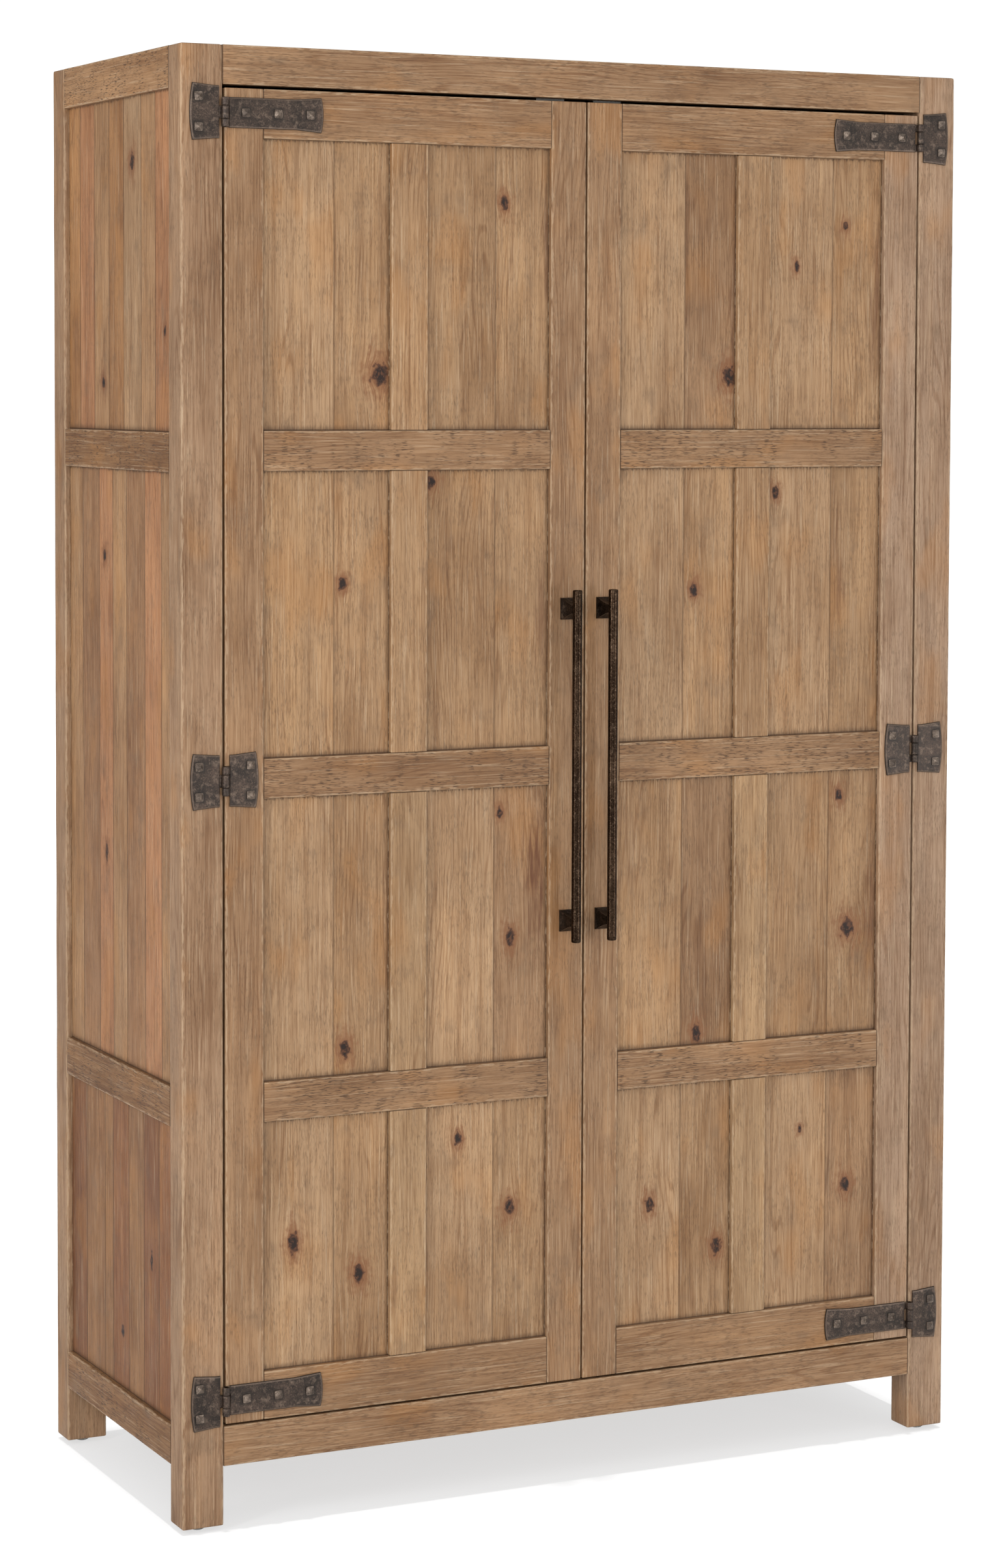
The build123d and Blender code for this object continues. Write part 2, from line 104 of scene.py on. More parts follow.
def add(tree: bpy.types.NodeTree, kind: str, *values: Any, out: int | str = 0, **settings: Any) -> Any:
    """Add a shader node with its settings, and fill its inputs in order.

    Args:
        tree: node tree that gets the node.
        kind: node type without its "ShaderNode" prefix.
        values: one per input from the first; a socket is linked, None is skipped, a dict names inputs.
        out: output that is returned.
        settings: properties of the node.

    Returns:
        The chosen output socket.
    """
    node = tree.nodes.new("ShaderNode" + kind)
    for name, value in settings.items():
        setattr(node, name, value)
    for index, value in enumerate(values):
        pairs = value.items() if isinstance(value, dict) else [(index, value)]
        for key, item in pairs:
            if isinstance(item, bpy.types.NodeSocket):
                tree.links.new(item, node.inputs[key])
            elif item is not None:
                node.inputs[key].default_value = item
    return node.outputs[out] if len(node.outputs) else node


def fresh(name: str) -> tuple[bpy.types.Material, bpy.types.NodeTree]:
    """Make a material with an empty node tree.

    Args:
        name: name of the material.

    Returns:
        The material and its tree.
    """
    material = bpy.data.materials.new(name)
    material.use_nodes = True
    material.node_tree.nodes.clear()
    return material, material.node_tree


def parts(tree: bpy.types.NodeTree, name: str) -> Any:
    """Three numbers that ride on a piece's points, each on its own socket."""
    return add(tree, "SeparateXYZ", add(tree, "Attribute", attribute_name=name, out="Vector")).node.outputs


# ---------------------------------------------------------------- meshes
@dataclass
class Patch:
    """A closed surface in progress: points, faces and the values that ride on the points."""

    points: np.ndarray
    quads: np.ndarray
    triangles: np.ndarray = field(default_factory=lambda: np.zeros((0, 3), int))
    values: dict[str, np.ndarray] = field(default_factory=dict)


def joined(patches: list[Patch]) -> Patch:
    """Lay several patches side by side in one, each keeping its own points.

    Args:
        patches: the patches, all with the same value names.

    Returns:
        One patch that holds them all.
    """
    starts = np.cumsum([0] + [len(p.points) for p in patches[:-1]])
    return Patch(
        np.concatenate([p.points for p in patches]),
        np.concatenate([p.quads + start for p, start in zip(patches, starts)]),
        np.concatenate([p.triangles + start for p, start in zip(patches, starts)]),
        {name: np.concatenate([p.values[name] for p in patches]) for name in patches[0].values})


def plain_rim(patch: Patch) -> Patch:
    """Say that every point of an iron piece is far from an outline and from a nail."""
    patch.values["rim"] = np.tile([1.0, FAR_OFF, 0.0], (len(patch.points), 1))
    return patch


def make_piece(name: str, patch: Patch, material: bpy.types.Material, body: str,
               nodes: tuple[str, ...], smooth: bool = True) -> bpy.types.Object:
    """Turn a patch into an object at the origin that rides on a body and stands for CAD nodes.

    Args:
        name: name of the piece.
        patch: its surface, in the armoire's frame, in metres.
        material: its finish.
        body: body that carries it.
        nodes: CAD nodes that it stands for.
        smooth: False leaves its facets crisp.

    Returns:
        The new object.
    """
    mesh = bpy.data.meshes.new(name)
    mesh.from_pydata(patch.points.tolist(), [], patch.quads.tolist() + patch.triangles.tolist())
    for key, value in patch.values.items():
        attribute = mesh.attributes.new(key, "FLOAT_VECTOR", "POINT")
        attribute.data.foreach_set("vector", value.astype(np.float32).ravel())
    tidy = bmesh.new()
    tidy.from_mesh(mesh)
    bmesh.ops.recalc_face_normals(tidy, faces=tidy.faces)
    tidy.to_mesh(mesh)
    tidy.free()
    mesh.polygons.foreach_set("use_smooth", np.full(len(mesh.polygons), smooth))
    mesh.materials.append(material)
    mesh.update()
    piece = bpy.data.objects.new(name, mesh)
    bpy.context.scene.collection.objects.link(piece)
    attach(piece, body)
    if nodes:
        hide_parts(*nodes)
    LOG.info("%s: %d faces on %s", name, len(mesh.polygons), body)
    return piece


def solid_boxes(node: str) -> np.ndarray:
    """Find the box of each separate solid of a CAD node.

    Corners within a hundredth of a millimetre are one point. Each point takes the lowest label among the
    triangles that meet there, again and again, until every solid has one label.

    Args:
        node: name of the CAD node.

    Returns:
        Array of (lowest corner, highest corner) pairs, lowest solid first, then from -X to +X, then front
        to back.
    """
    mesh = frame["nodes"][node].data
    places = np.empty(len(mesh.vertices) * 3)
    mesh.vertices.foreach_get("co", places)
    corner = np.empty(len(mesh.loops), int)
    mesh.loops.foreach_get("vertex_index", corner)
    keys = np.round(places.reshape(-1, 3) / (0.01 * MM)).astype(np.int64)
    merged, index = np.unique(keys, axis=0, return_inverse=True)
    triangles = index.ravel()[corner].reshape(-1, 3)
    label = np.arange(len(merged))
    while True:
        lowest = np.repeat(label[triangles].min(axis=1), 3)
        spread = label.copy()
        np.minimum.at(spread, triangles.ravel(), lowest)
        spread = spread[spread]
        if np.array_equal(spread, label):
            break
        label = spread
    metres = merged * 0.01 * MM
    boxes = [(metres[label == n].min(axis=0), metres[label == n].max(axis=0)) for n in np.unique(label)]
    boxes.sort(key=lambda b: (round(b[0][2], 3), round(b[0][0], 3), round(b[0][1], 3)))
    return np.array(boxes)


def shortened(node: str, axis: int, cut: float) -> list[np.ndarray]:
    """Find the boxes of a node's solids without what is hidden in the wood at their two ends.

    Args:
        node: name of the CAD node.
        axis: axis that the solids run along.
        cut: length of a tenon or a stub, in millimetres.

    Returns:
        One box per solid, in the order of solid_boxes.
    """
    boxes = solid_boxes(node).copy()
    boxes[:, 0, axis] += cut * MM
    boxes[:, 1, axis] -= cut * MM
    return list(boxes)


def lattice(span: float, arris: float, step: float) -> np.ndarray:
    """Lines across a length: close together at each rounded arris, even between.

    Args:
        span: the length.
        arris: largest arris radius.
        step: widest gap between two lines.

    Returns:
        Rising positions from 0 to the span.
    """
    edge = np.array([0.0, 0.3, 1.0, 1.9]) * arris
    if span < 5 * arris:
        edge = edge[:3]
    inner = span - 2 * edge[-1]
    middle = np.linspace(edge[-1], span - edge[-1], max(2, math.ceil(inner / step) + 1))
    return np.concatenate([edge[:-1], middle, (span - edge[:-1])[::-1]])


def shell(counts: tuple[int, int, int]) -> tuple[np.ndarray, np.ndarray]:
    """Cover the six faces of a lattice of points with quads that look outwards.

    Args:
        counts: number of lattice lines along each axis.

    Returns:
        Lattice indices of the points in use, and quads as rows of four point numbers.
    """
    faces = []
    for axis in range(3):
        first, second = (axis + 1) % 3, (axis + 2) % 3
        i, j = np.meshgrid(np.arange(counts[first] - 1), np.arange(counts[second] - 1), indexing="ij")
        for end in (0, counts[axis] - 1):
            corners = np.zeros((i.size, 4, 3), int)
            corners[..., axis] = end
            turns = ((0, 0), (1, 0), (1, 1), (0, 1)) if end else ((0, 0), (0, 1), (1, 1), (1, 0))
            for number, (di, dj) in enumerate(turns):
                corners[:, number, first] = i.ravel() + di
                corners[:, number, second] = j.ravel() + dj
            faces.append(corners)
    every = np.concatenate(faces)
    flat = np.ravel_multi_index(every.reshape(-1, 3).T, counts)
    used, index = np.unique(flat, return_inverse=True)
    return np.stack(np.unravel_index(used, counts), axis=1), index.reshape(-1, 4)


def ripple(rng: np.random.Generator, first: np.ndarray, second: np.ndarray, length: float) -> np.ndarray:
    """Gentle seeded unevenness between -1 and 1: the mean of five sine waves in random directions.

    Args:
        rng: seeded generator.
        first: one coordinate of each point.
        second: the other coordinate.
        length: typical wave length.

    Returns:
        One value per point.
    """
    total = np.zeros_like(first)
    for turn, phase, scale in rng.uniform((0, 0, 0.6), (math.tau, math.tau, 1.7), (5, 3)):
        along = first * math.cos(turn) + second * math.sin(turn)
        total += np.sin(math.tau * scale / length * along + phase)
    return total / 5


def slab(top: np.ndarray, bottom: np.ndarray) -> Patch:
    """Close the space between two grids of points that share an outline.

    Args:
        top: grid of points, shaped (rows, columns, 3).
        bottom: grid of the same shape under it.

    Returns:
        Both grids with a wall of quads round their outline.
    """
    rows, columns = top.shape[:2]
    number = np.arange(rows * columns).reshape(rows, columns)
    square = np.stack([number[:-1, :-1], number[1:, :-1], number[1:, 1:], number[:-1, 1:]], -1).reshape(-1, 4)
    rim = np.concatenate([number[0, :-1], number[:-1, -1], number[-1, :0:-1], number[:0:-1, 0]])
    following = np.roll(rim, -1)
    under = rows * columns
    wall = np.stack([rim, following, following + under, rim + under], -1)
    points = np.concatenate([top.reshape(-1, 3), bottom.reshape(-1, 3)])
    return Patch(points, np.concatenate([square, square[:, ::-1] + under, wall]))


def tube(rings: np.ndarray) -> Patch:
    """Skin a row of rings and close both ends with a fan to the ring's middle.

    Args:
        rings: points shaped (rings, points round, 3).

    Returns:
        The closed surface.
    """
    count, around = rings.shape[:2]
    number = np.arange(count * around).reshape(count, around)
    following = np.roll(number, -1, axis=1)
    quads = np.stack([number[:-1], following[:-1], following[1:], number[1:]], -1).reshape(-1, 4)
    centres = rings[[0, -1]].mean(axis=1)
    fans = [np.stack([following[end], number[end], np.full(around, count * around + n)], -1)
            for n, end in enumerate((0, -1))]
    return Patch(np.concatenate([rings.reshape(-1, 3), centres]), quads, np.concatenate(fans))


# ---------------------------------------------------------------- boards
@dataclass(frozen=True)
class Knot:
    """A knot in a board.

    across and along are shares of the board, from its low edge and its low end; size is the radius across
    the grain in millimetres, stretch how much longer it is along the grain.
    """

    across: float
    along: float
    size: float
    stretch: float = 1.6


@dataclass(frozen=True)
class Burn:
    """A smear of dark red heartwood: shares across and along, half width and half length in mm, strength."""

    across: float
    along: float
    width: float
    length: float
    share: float


NO_BURNS: tuple[Burn | None, ...] = (None,) * 8


@dataclass
class Board:
    """One board: a rounded block whose grain runs along an axis, with its own tone, seed and knots.

    grain and face are axis numbers, outward is +1 or -1 along the face axis, opening is the box that its
    darkened rim is measured from, the next field is how strongly dark wax and painted shade lie at that rim,
    the one after it how wide its arrises are paled by wear and a painted highlight, flecks is how thickly
    short dark pores lie on it, seam is how dark its glue lines are, and jointed says that its ends butt
    against other boards.
    """

    low: np.ndarray
    high: np.ndarray
    grain: int
    face: int
    outward: int
    tone: Tone
    seed: int
    knots: tuple[Knot, ...] = ()
    arris: float = 1.5 * MM
    step: float = 14 * MM
    relief: float = 0.25 * MM
    opening: np.ndarray | None = None
    glaze_and_shade: float = 0.0
    wear_and_highlight: float = 1.0
    flecks: float = 0.22
    burn: Burn | None = None
    seam: float = 0.0
    jointed: bool = True

    def patch(self) -> Patch:
        """Work out the board's surface.

        A lattice over the six faces is pulled in at its edges: each point is moved to the arris radius
        from the nearest point of the block shrunk by that radius. The radius wanders along the grain, and
        the face is dished by up to the relief, as hand work leaves it.

        Returns:
            The closed patch with the values that the wood's finish reads.
        """
        rng = np.random.default_rng(self.seed)
        span = self.high - self.low
        lines = [lattice(s, self.arris * 1.3, self.step if n != self.grain else 2.2 * self.step)
                 for n, s in enumerate(span)]
        index, quads = shell(tuple(len(line) for line in lines))
        flat = np.stack([lines[n][index[:, n]] for n in range(3)], axis=1)
        across = 3 - self.grain - self.face
        u, v = flat[:, across], flat[:, self.grain]
        radius = self.arris * (1 + 0.3 * ripple(rng, v, u * 0.2, 0.11))[:, None]
        core = np.clip(flat, radius, span - radius)
        out = flat - core
        length = np.maximum(np.linalg.norm(out, axis=1, keepdims=True), 1e-9)
        points = core + out / length * radius
        depth = span[self.face] - flat[:, self.face] if self.outward > 0 else flat[:, self.face]
        dish = self.relief * (0.5 + 0.5 * ripple(rng, u, v * 0.3, 0.06)) * (1 - depth / span[self.face])
        points[:, self.face] -= self.outward * dish
        return Patch(points + self.low, quads, values=self.values(rng, flat, u, v, depth, across))

    def values(self, rng: np.random.Generator, flat: np.ndarray, u: np.ndarray, v: np.ndarray,
               depth: np.ndarray, across: int) -> dict[str, np.ndarray]:
        """Give each point its place in the board, tone, knots and distance to the rim.

        Args:
            rng: the board's generator.
            flat: unrounded points from the low corner.
            u: place across the grain.
            v: place along the grain.
            depth: distance in from the outer face.
            across: axis number across the grain.

        Returns:
            Arrays of three numbers per point, by attribute name.
        """
        count = len(u)
        start = rng.uniform(0.2, 2.4, 3)
        tint = np.array(linear(self.tone.value)[:3]) * rng.uniform(0.965, 1.035)
        rest = flat + self.low
        opening = self.opening if self.opening is not None else np.stack([self.low, self.high])
        edge = np.minimum(rest[:, across] - opening[0][across], opening[1][across] - rest[:, across])
        if self.opening is None:
            thickness = (self.high - self.low)[self.face]
            edge = np.maximum(edge, np.minimum(depth, thickness - depth))
        end = rest[:, self.grain] - opening[0][self.grain]
        far_end = opening[1][self.grain] - rest[:, self.grain]
        if not self.jointed:
            end, far_end = end + FAR_OFF, far_end + FAR_OFF
        found = {
            "grain": np.stack([u, v, depth], 1) + start,
            "tint": np.tile(tint, (count, 1)),
            "rim": np.stack([edge, end, far_end], 1),
            "seam": np.stack([np.minimum(u, u.max() - u), np.full(count, self.seam), np.zeros(count)], 1),
            "dress": np.tile([self.glaze_and_shade, self.wear_and_highlight, self.flecks], (count, 1)),
        }
        width, run = u.max(), v.max()
        burn = self.burn or Burn(0.5, 0.5, 1, 1, 0.0)
        found["burn"] = np.stack([(u - burn.across * width) / (burn.width * MM),
                                  (v - burn.along * run) / (burn.length * MM), np.full(count, burn.share)], 1)
        for name, knot in zip(("knot_a", "knot_b"), (*self.knots, None, None)):
            if knot is None:
                found[name] = np.tile([FAR_OFF, FAR_OFF, 0.001], (count, 1))
            else:
                size = knot.size * MM
                found[name] = np.stack([(u - knot.across * width) / size,
                                        (v - knot.along * run) / (size * knot.stretch),
                                        np.full(count, size)], 1)
        return found


def glued(low: np.ndarray, high: np.ndarray, across: int, shares: tuple[float, ...], tones: tuple[Tone, ...],
          knots: tuple[tuple[Knot, ...], ...], model: Board,
          burns: tuple[Burn | None, ...] = NO_BURNS) -> list[Board]:
    """Split a panel into the boards that it is glued up from.

    Args:
        low: lowest corner of the panel.
        high: highest corner.
        across: axis that the boards lie side by side along.
        shares: where the glue lines are, as rising shares of the width.
        tones: tone of each board.
        knots: knots of each board.
        model: a board that gives everything else.
        burns: heartwood smear of each board.

    Returns:
        One board per strip.
    """
    cuts = (0.0, *shares, 1.0)
    boards = []
    for number, (start, stop) in enumerate(zip(cuts[:-1], cuts[1:])):
        strip_low, strip_high = low.copy(), high.copy()
        strip_low[across] = low[across] + start * (high - low)[across]
        strip_high[across] = low[across] + stop * (high - low)[across]
        boards.append(replace(model, low=strip_low, high=strip_high, tone=tones[number],
                              knots=knots[number], seed=model.seed + 17 * number, burn=burns[number]))
    return boards


# ---------------------------------------------------------------- finishes
PATTERN = (1.0, 1.0, 1.0)


@dataclass(frozen=True)
class Layer:
    """One layer of the wood's look, drawn where a noise stretched along the grain passes a threshold.

    width and length are the noise's cell in millimetres across and along the grain; the layer rises from
    nothing at the value start to its share at the value full. The colour is a hex that is laid over, or
    three factors that multiply, or PATTERN when only the amount is read. A layer may keep to where another
    one shows.
    """

    width: float
    length: float
    start: float
    full: float
    share: float
    colour: str | tuple[float, float, float]
    seed: float
    detail: float = 2.0
    within: "Layer | None" = None

    def amount(self, tree: bpy.types.NodeTree, place: Any) -> Any:
        """Read the layer at a place: noise, raised from 0 to the layer's share by a smooth step.

        Args:
            tree: node tree.
            place: grain coordinates.

        Returns:
            The amount's socket.
        """
        scale = tuple(1 / (size * MM) for size in (self.width, self.length, self.width))
        cell = add(tree, "VectorMath", place, scale, (self.seed,) * 3, operation="MULTIPLY_ADD")
        noise = add(tree, "TexNoise", {"Vector": cell, "Scale": 1.0, "Detail": self.detail, "Roughness": 0.5})
        share = add(tree, "MapRange", noise, self.start, self.full, 0.0, self.share,
                    interpolation_type="SMOOTHSTEP")
        if self.within is None:
            return share
        return add(tree, "Math", share, self.within.amount(tree, place), operation="MULTIPLY")

    def over(self, tree: bpy.types.NodeTree, place: Any, colour: Any, strength: Any = 1.0) -> Any:
        """Lay the layer over a colour.

        Args:
            tree: node tree.
            place: grain coordinates.
            colour: colour socket below it.
            strength: socket or number that the share is multiplied by.

        Returns:
            The colour socket.
        """
        share = add(tree, "Math", self.amount(tree, place), strength, operation="MULTIPLY")
        stain = isinstance(self.colour, str)
        above = linear(self.colour) if stain else (*self.colour, 1)
        return add(tree, "Mix", {0: share, 6: colour, 7: above}, data_type="RGBA",
                   blend_type="MIX" if stain else "MULTIPLY", out=2)


# dark wax in pores, glue lines and joints, and also the painted shade round each sunk panel
DARK_WAX_AND_SHADE = "#46301f"
PORE_WAX = "#55402e"
# limed white of the lime streaks, and also the painted highlight along arrises
LIME_AND_HIGHLIGHT_WHITE = "#c9b193"
PATCHES = Layer(40, 66, 0.38, 0.58, 1.0, PATTERN, 41)
THICKETS = Layer(46, 38, 0.36, 0.56, 1.0, PATTERN, 47)
GROWTH_BEND = Layer(60, 600, 0.0, 1.0, 11.0, PATTERN, 3)
GROWTH_LINES = Layer(52, 240, 0.44, 0.62, 1.0, (0.66, 0.55, 0.45), 5, 1.0)


@dataclass(frozen=True)
class WaxedWood:
    """Reclaimed, limed and waxed softwood: open dark pores, pale limed lines, brown and amber stains.

    The tone layers make a board lighter and darker, in broad shades and in bands, streaks and hairs along
    the grain; the stains lie over them in clouds, then the pores.
    """

    tones: tuple[Layer, ...] = (
        Layer(105, 280, 0.50, 0.34, 0.62, (0.76, 0.69, 0.61), 13, 3.0),
        Layer(105, 280, 0.50, 0.66, 0.70, (1.20, 1.19, 1.16), 13, 3.0),
        Layer(36, 90, 0.48, 0.32, 0.42, (0.78, 0.71, 0.63), 71, 3.0),
        Layer(14, 420, 0.46, 0.30, 0.60, (0.76, 0.68, 0.60), 7),
        Layer(14, 420, 0.52, 0.72, 0.60, (1.16, 1.16, 1.13), 7),
        Layer(2.6, 260, 0.44, 0.64, 0.50, (0.70, 0.62, 0.54), 0, 3.0),
        Layer(1.4, 45, 0.48, 0.66, 0.62, (0.62, 0.54, 0.46), 17),
    )
    stains: tuple[Layer, ...] = (
        Layer(2.0, 90, 0.55, 0.70, 0.30, LIME_AND_HIGHLIGHT_WHITE, 23, 3.0),
        Layer(28, 48, 0.56, 0.76, 0.42, "#755d47", 11, 4.0),
        Layer(60, 140, 0.54, 0.72, 0.28, "#ab763f", 19),
        Layer(1.2, 9, 0.55, 0.68, 0.36, PORE_WAX, 29, 1.0, PATCHES),
    )
    flecks: Layer = Layer(1.25, 12, 0.54, 0.64, 0.78, DARK_WAX_AND_SHADE, 53, 1.0, THICKETS)
    wobble: Layer = Layer(7, 9, 0.25, 0.75, 1.3, PATTERN, 43, 3.0)
    crowd: Layer = Layer(1.5, 60, 0.46, 0.62, 0.65, PATTERN, 59)
    crack: Layer = Layer(4.0, 6.0, 0.36, 0.52, 0.95, PATTERN, 61)
    ragged: Layer = Layer(2.5, 14, 0.2, 0.8, 1.0, PATTERN, 31, 3.0)
    smear: Layer = Layer(4.5, 60, 0.2, 0.8, 1.0, PATTERN, 67, 3.0)
    sheen: Layer = Layer(30, 60, 0.0, 1.0, 1.0, PATTERN, 37)
    ring_gap: float = 7.0
    roughness: float = 0.60
    depth: tuple[float, float, float] = (0.780, 0.768, 0.750)
    red_heart: str = "#633c26"
    knot_heart: str = "#20130d"
    knot_wood: str = "#5d3a25"
    knot_halo: str = "#7f5334"

    def material(self, name: str) -> bpy.types.Material:
        """Build the finish for boards that carry their own grain values.

        Round a knot the lines across the grain are pushed aside: the shift falls with the distance from it,
        so fibres crowd past it as they do in a tree.

        Args:
            name: name of the material.

        Returns:
            The material.
        """
        material, tree = fresh(name)
        grain = add(tree, "Attribute", attribute_name="grain", out="Vector")
        tint = add(tree, "Attribute", attribute_name="tint", out="Vector")
        rim = parts(tree, "rim")
        dress = parts(tree, "dress")
        u, v, w = add(tree, "SeparateXYZ", grain).node.outputs
        uneven = add(tree, "Math", self.wobble.amount(tree, grain), 0.42, operation="ADD")
        near = []
        for key in ("knot_a", "knot_b"):
            knot = add(tree, "Attribute", attribute_name=key, out="Vector")
            across, _, size = add(tree, "SeparateXYZ", knot).node.outputs
            flat = add(tree, "VectorMath", knot, (1, 1, 0), operation="MULTIPLY")
            reach = add(tree, "VectorMath", flat, flat, operation="DOT_PRODUCT", out="Value")
            spent = add(tree, "Math", reach, -0.035, operation="MULTIPLY")
            fall = add(tree, "Math", math.e, spent, operation="POWER")
            outside = add(tree, "Math", reach, 1.0, operation="MAXIMUM")
            thin = add(tree, "Math", outside, -0.8, operation="POWER")
            push = add(tree, "Math", add(tree, "Math", across, size, operation="MULTIPLY"),
                       add(tree, "Math", fall, thin, operation="MULTIPLY"), operation="MULTIPLY")
            u = add(tree, "Math", u, push, operation="SUBTRACT")
            ragged = add(tree, "Math", reach, uneven, operation="MULTIPLY")
            near.append(add(tree, "Math", ragged, operation="SQRT"))
        place = add(tree, "CombineXYZ", u, v, w)
        colour = self.clear_wood(tree, tint, place, u, dress[2])
        colour = self.heartwood(tree, colour, place)
        colour = self.knots(tree, colour, near, place, grain)
        colour = self.edges(tree, colour, place, rim, dress)
        return self.finished(tree, material, colour, place)

    def clear_wood(self, tree: bpy.types.NodeTree, tint: Any, place: Any, u: Any, flecks: Any) -> Any:
        """Colour of clear wood: the board's own tone under every layer, and the growth lines.

        Growth lines are sine waves across the grain, bent by stretched noise, and show only in patches.

        Args:
            tree: node tree.
            tint: the board's own colour.
            place: grain coordinates.
            u: coordinate across the grain.
            flecks: how thickly short flecks lie.

        Returns:
            The colour socket.
        """
        colour = tint
        for layer in self.tones:
            colour = layer.over(tree, place, colour)
        bend = GROWTH_BEND.amount(tree, place)
        turns = add(tree, "Math", u, 1 / (self.ring_gap * MM), bend, operation="MULTIPLY_ADD")
        wave = add(tree, "Math", add(tree, "Math", turns, math.tau, operation="MULTIPLY"), operation="SINE")
        line = add(tree, "MapRange", wave, 0.25, 1.0, 0.0, 0.65, interpolation_type="SMOOTHSTEP")
        colour = GROWTH_LINES.over(tree, place, colour, line)
        for layer in self.stains:
            colour = layer.over(tree, place, colour)
        return self.flecks.over(tree, place, colour, flecks)

    def heartwood(self, tree: bpy.types.NodeTree, colour: Any, place: Any) -> Any:
        """Lay a board's smear of dark red heartwood: it fades from its middle out, drawn out in streaks.

        Args:
            tree: node tree.
            colour: colour of the wood so far.
            place: grain coordinates.

        Returns:
            The colour socket.
        """
        burn = add(tree, "Attribute", attribute_name="burn", out="Vector")
        share = add(tree, "SeparateXYZ", burn, out="Z")
        flat = add(tree, "VectorMath", burn, (1, 1, 0), operation="MULTIPLY")
        reach = add(tree, "VectorMath", flat, operation="LENGTH", out="Value")
        reach = add(tree, "Math", reach, self.smear.amount(tree, place), operation="ADD")
        inside = add(tree, "MapRange", reach, 1.45, 0.35, 0.0, share, interpolation_type="SMOOTHSTEP")
        return add(tree, "Mix", {0: inside, 6: colour, 7: linear(self.red_heart)}, data_type="RGBA", out=2)

    def knots(self, tree: bpy.types.NodeTree, colour: Any, near: list[Any], place: Any, grain: Any) -> Any:
        """Draw each knot: crowded lines, a warm halo, brown wood, a dark outline, a cracked heart.

        A band goes from nothing at its outer distance to its share at its inner one, in knot radii.

        Args:
            tree: node tree.
            colour: colour of the wood so far.
            near: for each knot, the distance from its middle in knot radii, made uneven.
            place: grain coordinates, pushed aside round the knots.
            grain: grain coordinates as they are.

        Returns:
            The colour socket.
        """
        crowd = self.crowd.amount(tree, place)
        crack = self.crack.amount(tree, grain)
        for far in near:
            bands = (
                (4.2, 1.3, 1.0, self.knot_halo, crowd),
                (2.6, 0.9, 0.72, self.knot_halo, 1.0),
                (1.15, 0.85, 0.90, self.knot_wood, 1.0),
                (0.95, 0.72, 0.55, self.knot_heart, 1.0),
                (0.78, 0.60, 0.80, self.knot_wood, 1.0),
                (0.85, 0.55, 1.0, self.knot_heart, crack),
            )
            for outer, inner, share, over, where in bands:
                inside = add(tree, "MapRange", far, outer, inner, 0.0, share, interpolation_type="SMOOTHSTEP")
                inside = add(tree, "Math", inside, where, operation="MULTIPLY")
                colour = add(tree, "Mix", {0: inside, 6: colour, 7: linear(over)}, data_type="RGBA", out=2)
        return colour

    def edges(self, tree: bpy.types.NodeTree, colour: Any, place: Any, rim: Any, dress: Any) -> Any:
        """Darken panel rims (wax, painted shade), pale arrises (wear, painted highlight), darken joints.

        A band goes from nothing at its outer distance to its share at its inner one, in millimetres.

        Args:
            tree: node tree.
            colour: colour of the wood so far.
            place: grain coordinates.
            rim: distances to the long edge, the low end and the high end.
            dress: rim wax and painted shade, arris wear and painted highlight, and flecks of the board.

        Returns:
            The colour socket.
        """
        ragged = add(tree, "Math", self.ragged.amount(tree, place), 6 * MM, -3 * MM, operation="MULTIPLY_ADD")
        edge, low, high = (add(tree, "Math", far, ragged, operation="ADD") for far in rim)
        framed = add(tree, "Math", 1.0, dress[0], operation="SUBTRACT")
        # arrises are paled over a width scaled by this factor: wear and a painted highlight
        wear_and_highlight = add(tree, "Math", dress[1], 0.01, operation="MAXIMUM")
        paled = add(tree, "Math", edge, wear_and_highlight, operation="DIVIDE")
        joint = add(tree, "Math", rim[1], rim[2], operation="MINIMUM")
        seam = parts(tree, "seam")
        # Bands in turn: dark wax and painted shade along a panel's long edges and its two ends, dark glue
        # lines, arrises paled by wear and a painted highlight, dark joints at a frame board's ends.
        bands = (
            (rim[0], 2.2, 0.5, 0.75, DARK_WAX_AND_SHADE, dress[0]),
            (edge, 8.0, 0.5, 0.36, DARK_WAX_AND_SHADE, dress[0]),
            (rim[1], 2.6, 0.8, 0.75, DARK_WAX_AND_SHADE, dress[0]),
            (low, 9.0, 0.5, 0.45, DARK_WAX_AND_SHADE, dress[0]),
            (high, 3.4, 0.4, 0.60, DARK_WAX_AND_SHADE, dress[0]),
            (seam[0], 2.2, 0.4, 1.0, DARK_WAX_AND_SHADE, seam[1]),
            (paled, 2.6, 0.2, 0.34, LIME_AND_HIGHLIGHT_WHITE, 1.0),
            (joint, 1.8, 0.5, 0.75, DARK_WAX_AND_SHADE, framed),
        )
        for far, outer, inner, share, over, where in bands:
            close = add(tree, "MapRange", far, outer * MM, inner * MM, 0.0, share,
                        interpolation_type="SMOOTHSTEP")
            close = add(tree, "Math", close, where, operation="MULTIPLY")
            colour = add(tree, "Mix", {0: close, 6: colour, 7: linear(over)}, data_type="RGBA", out=2)
        return colour

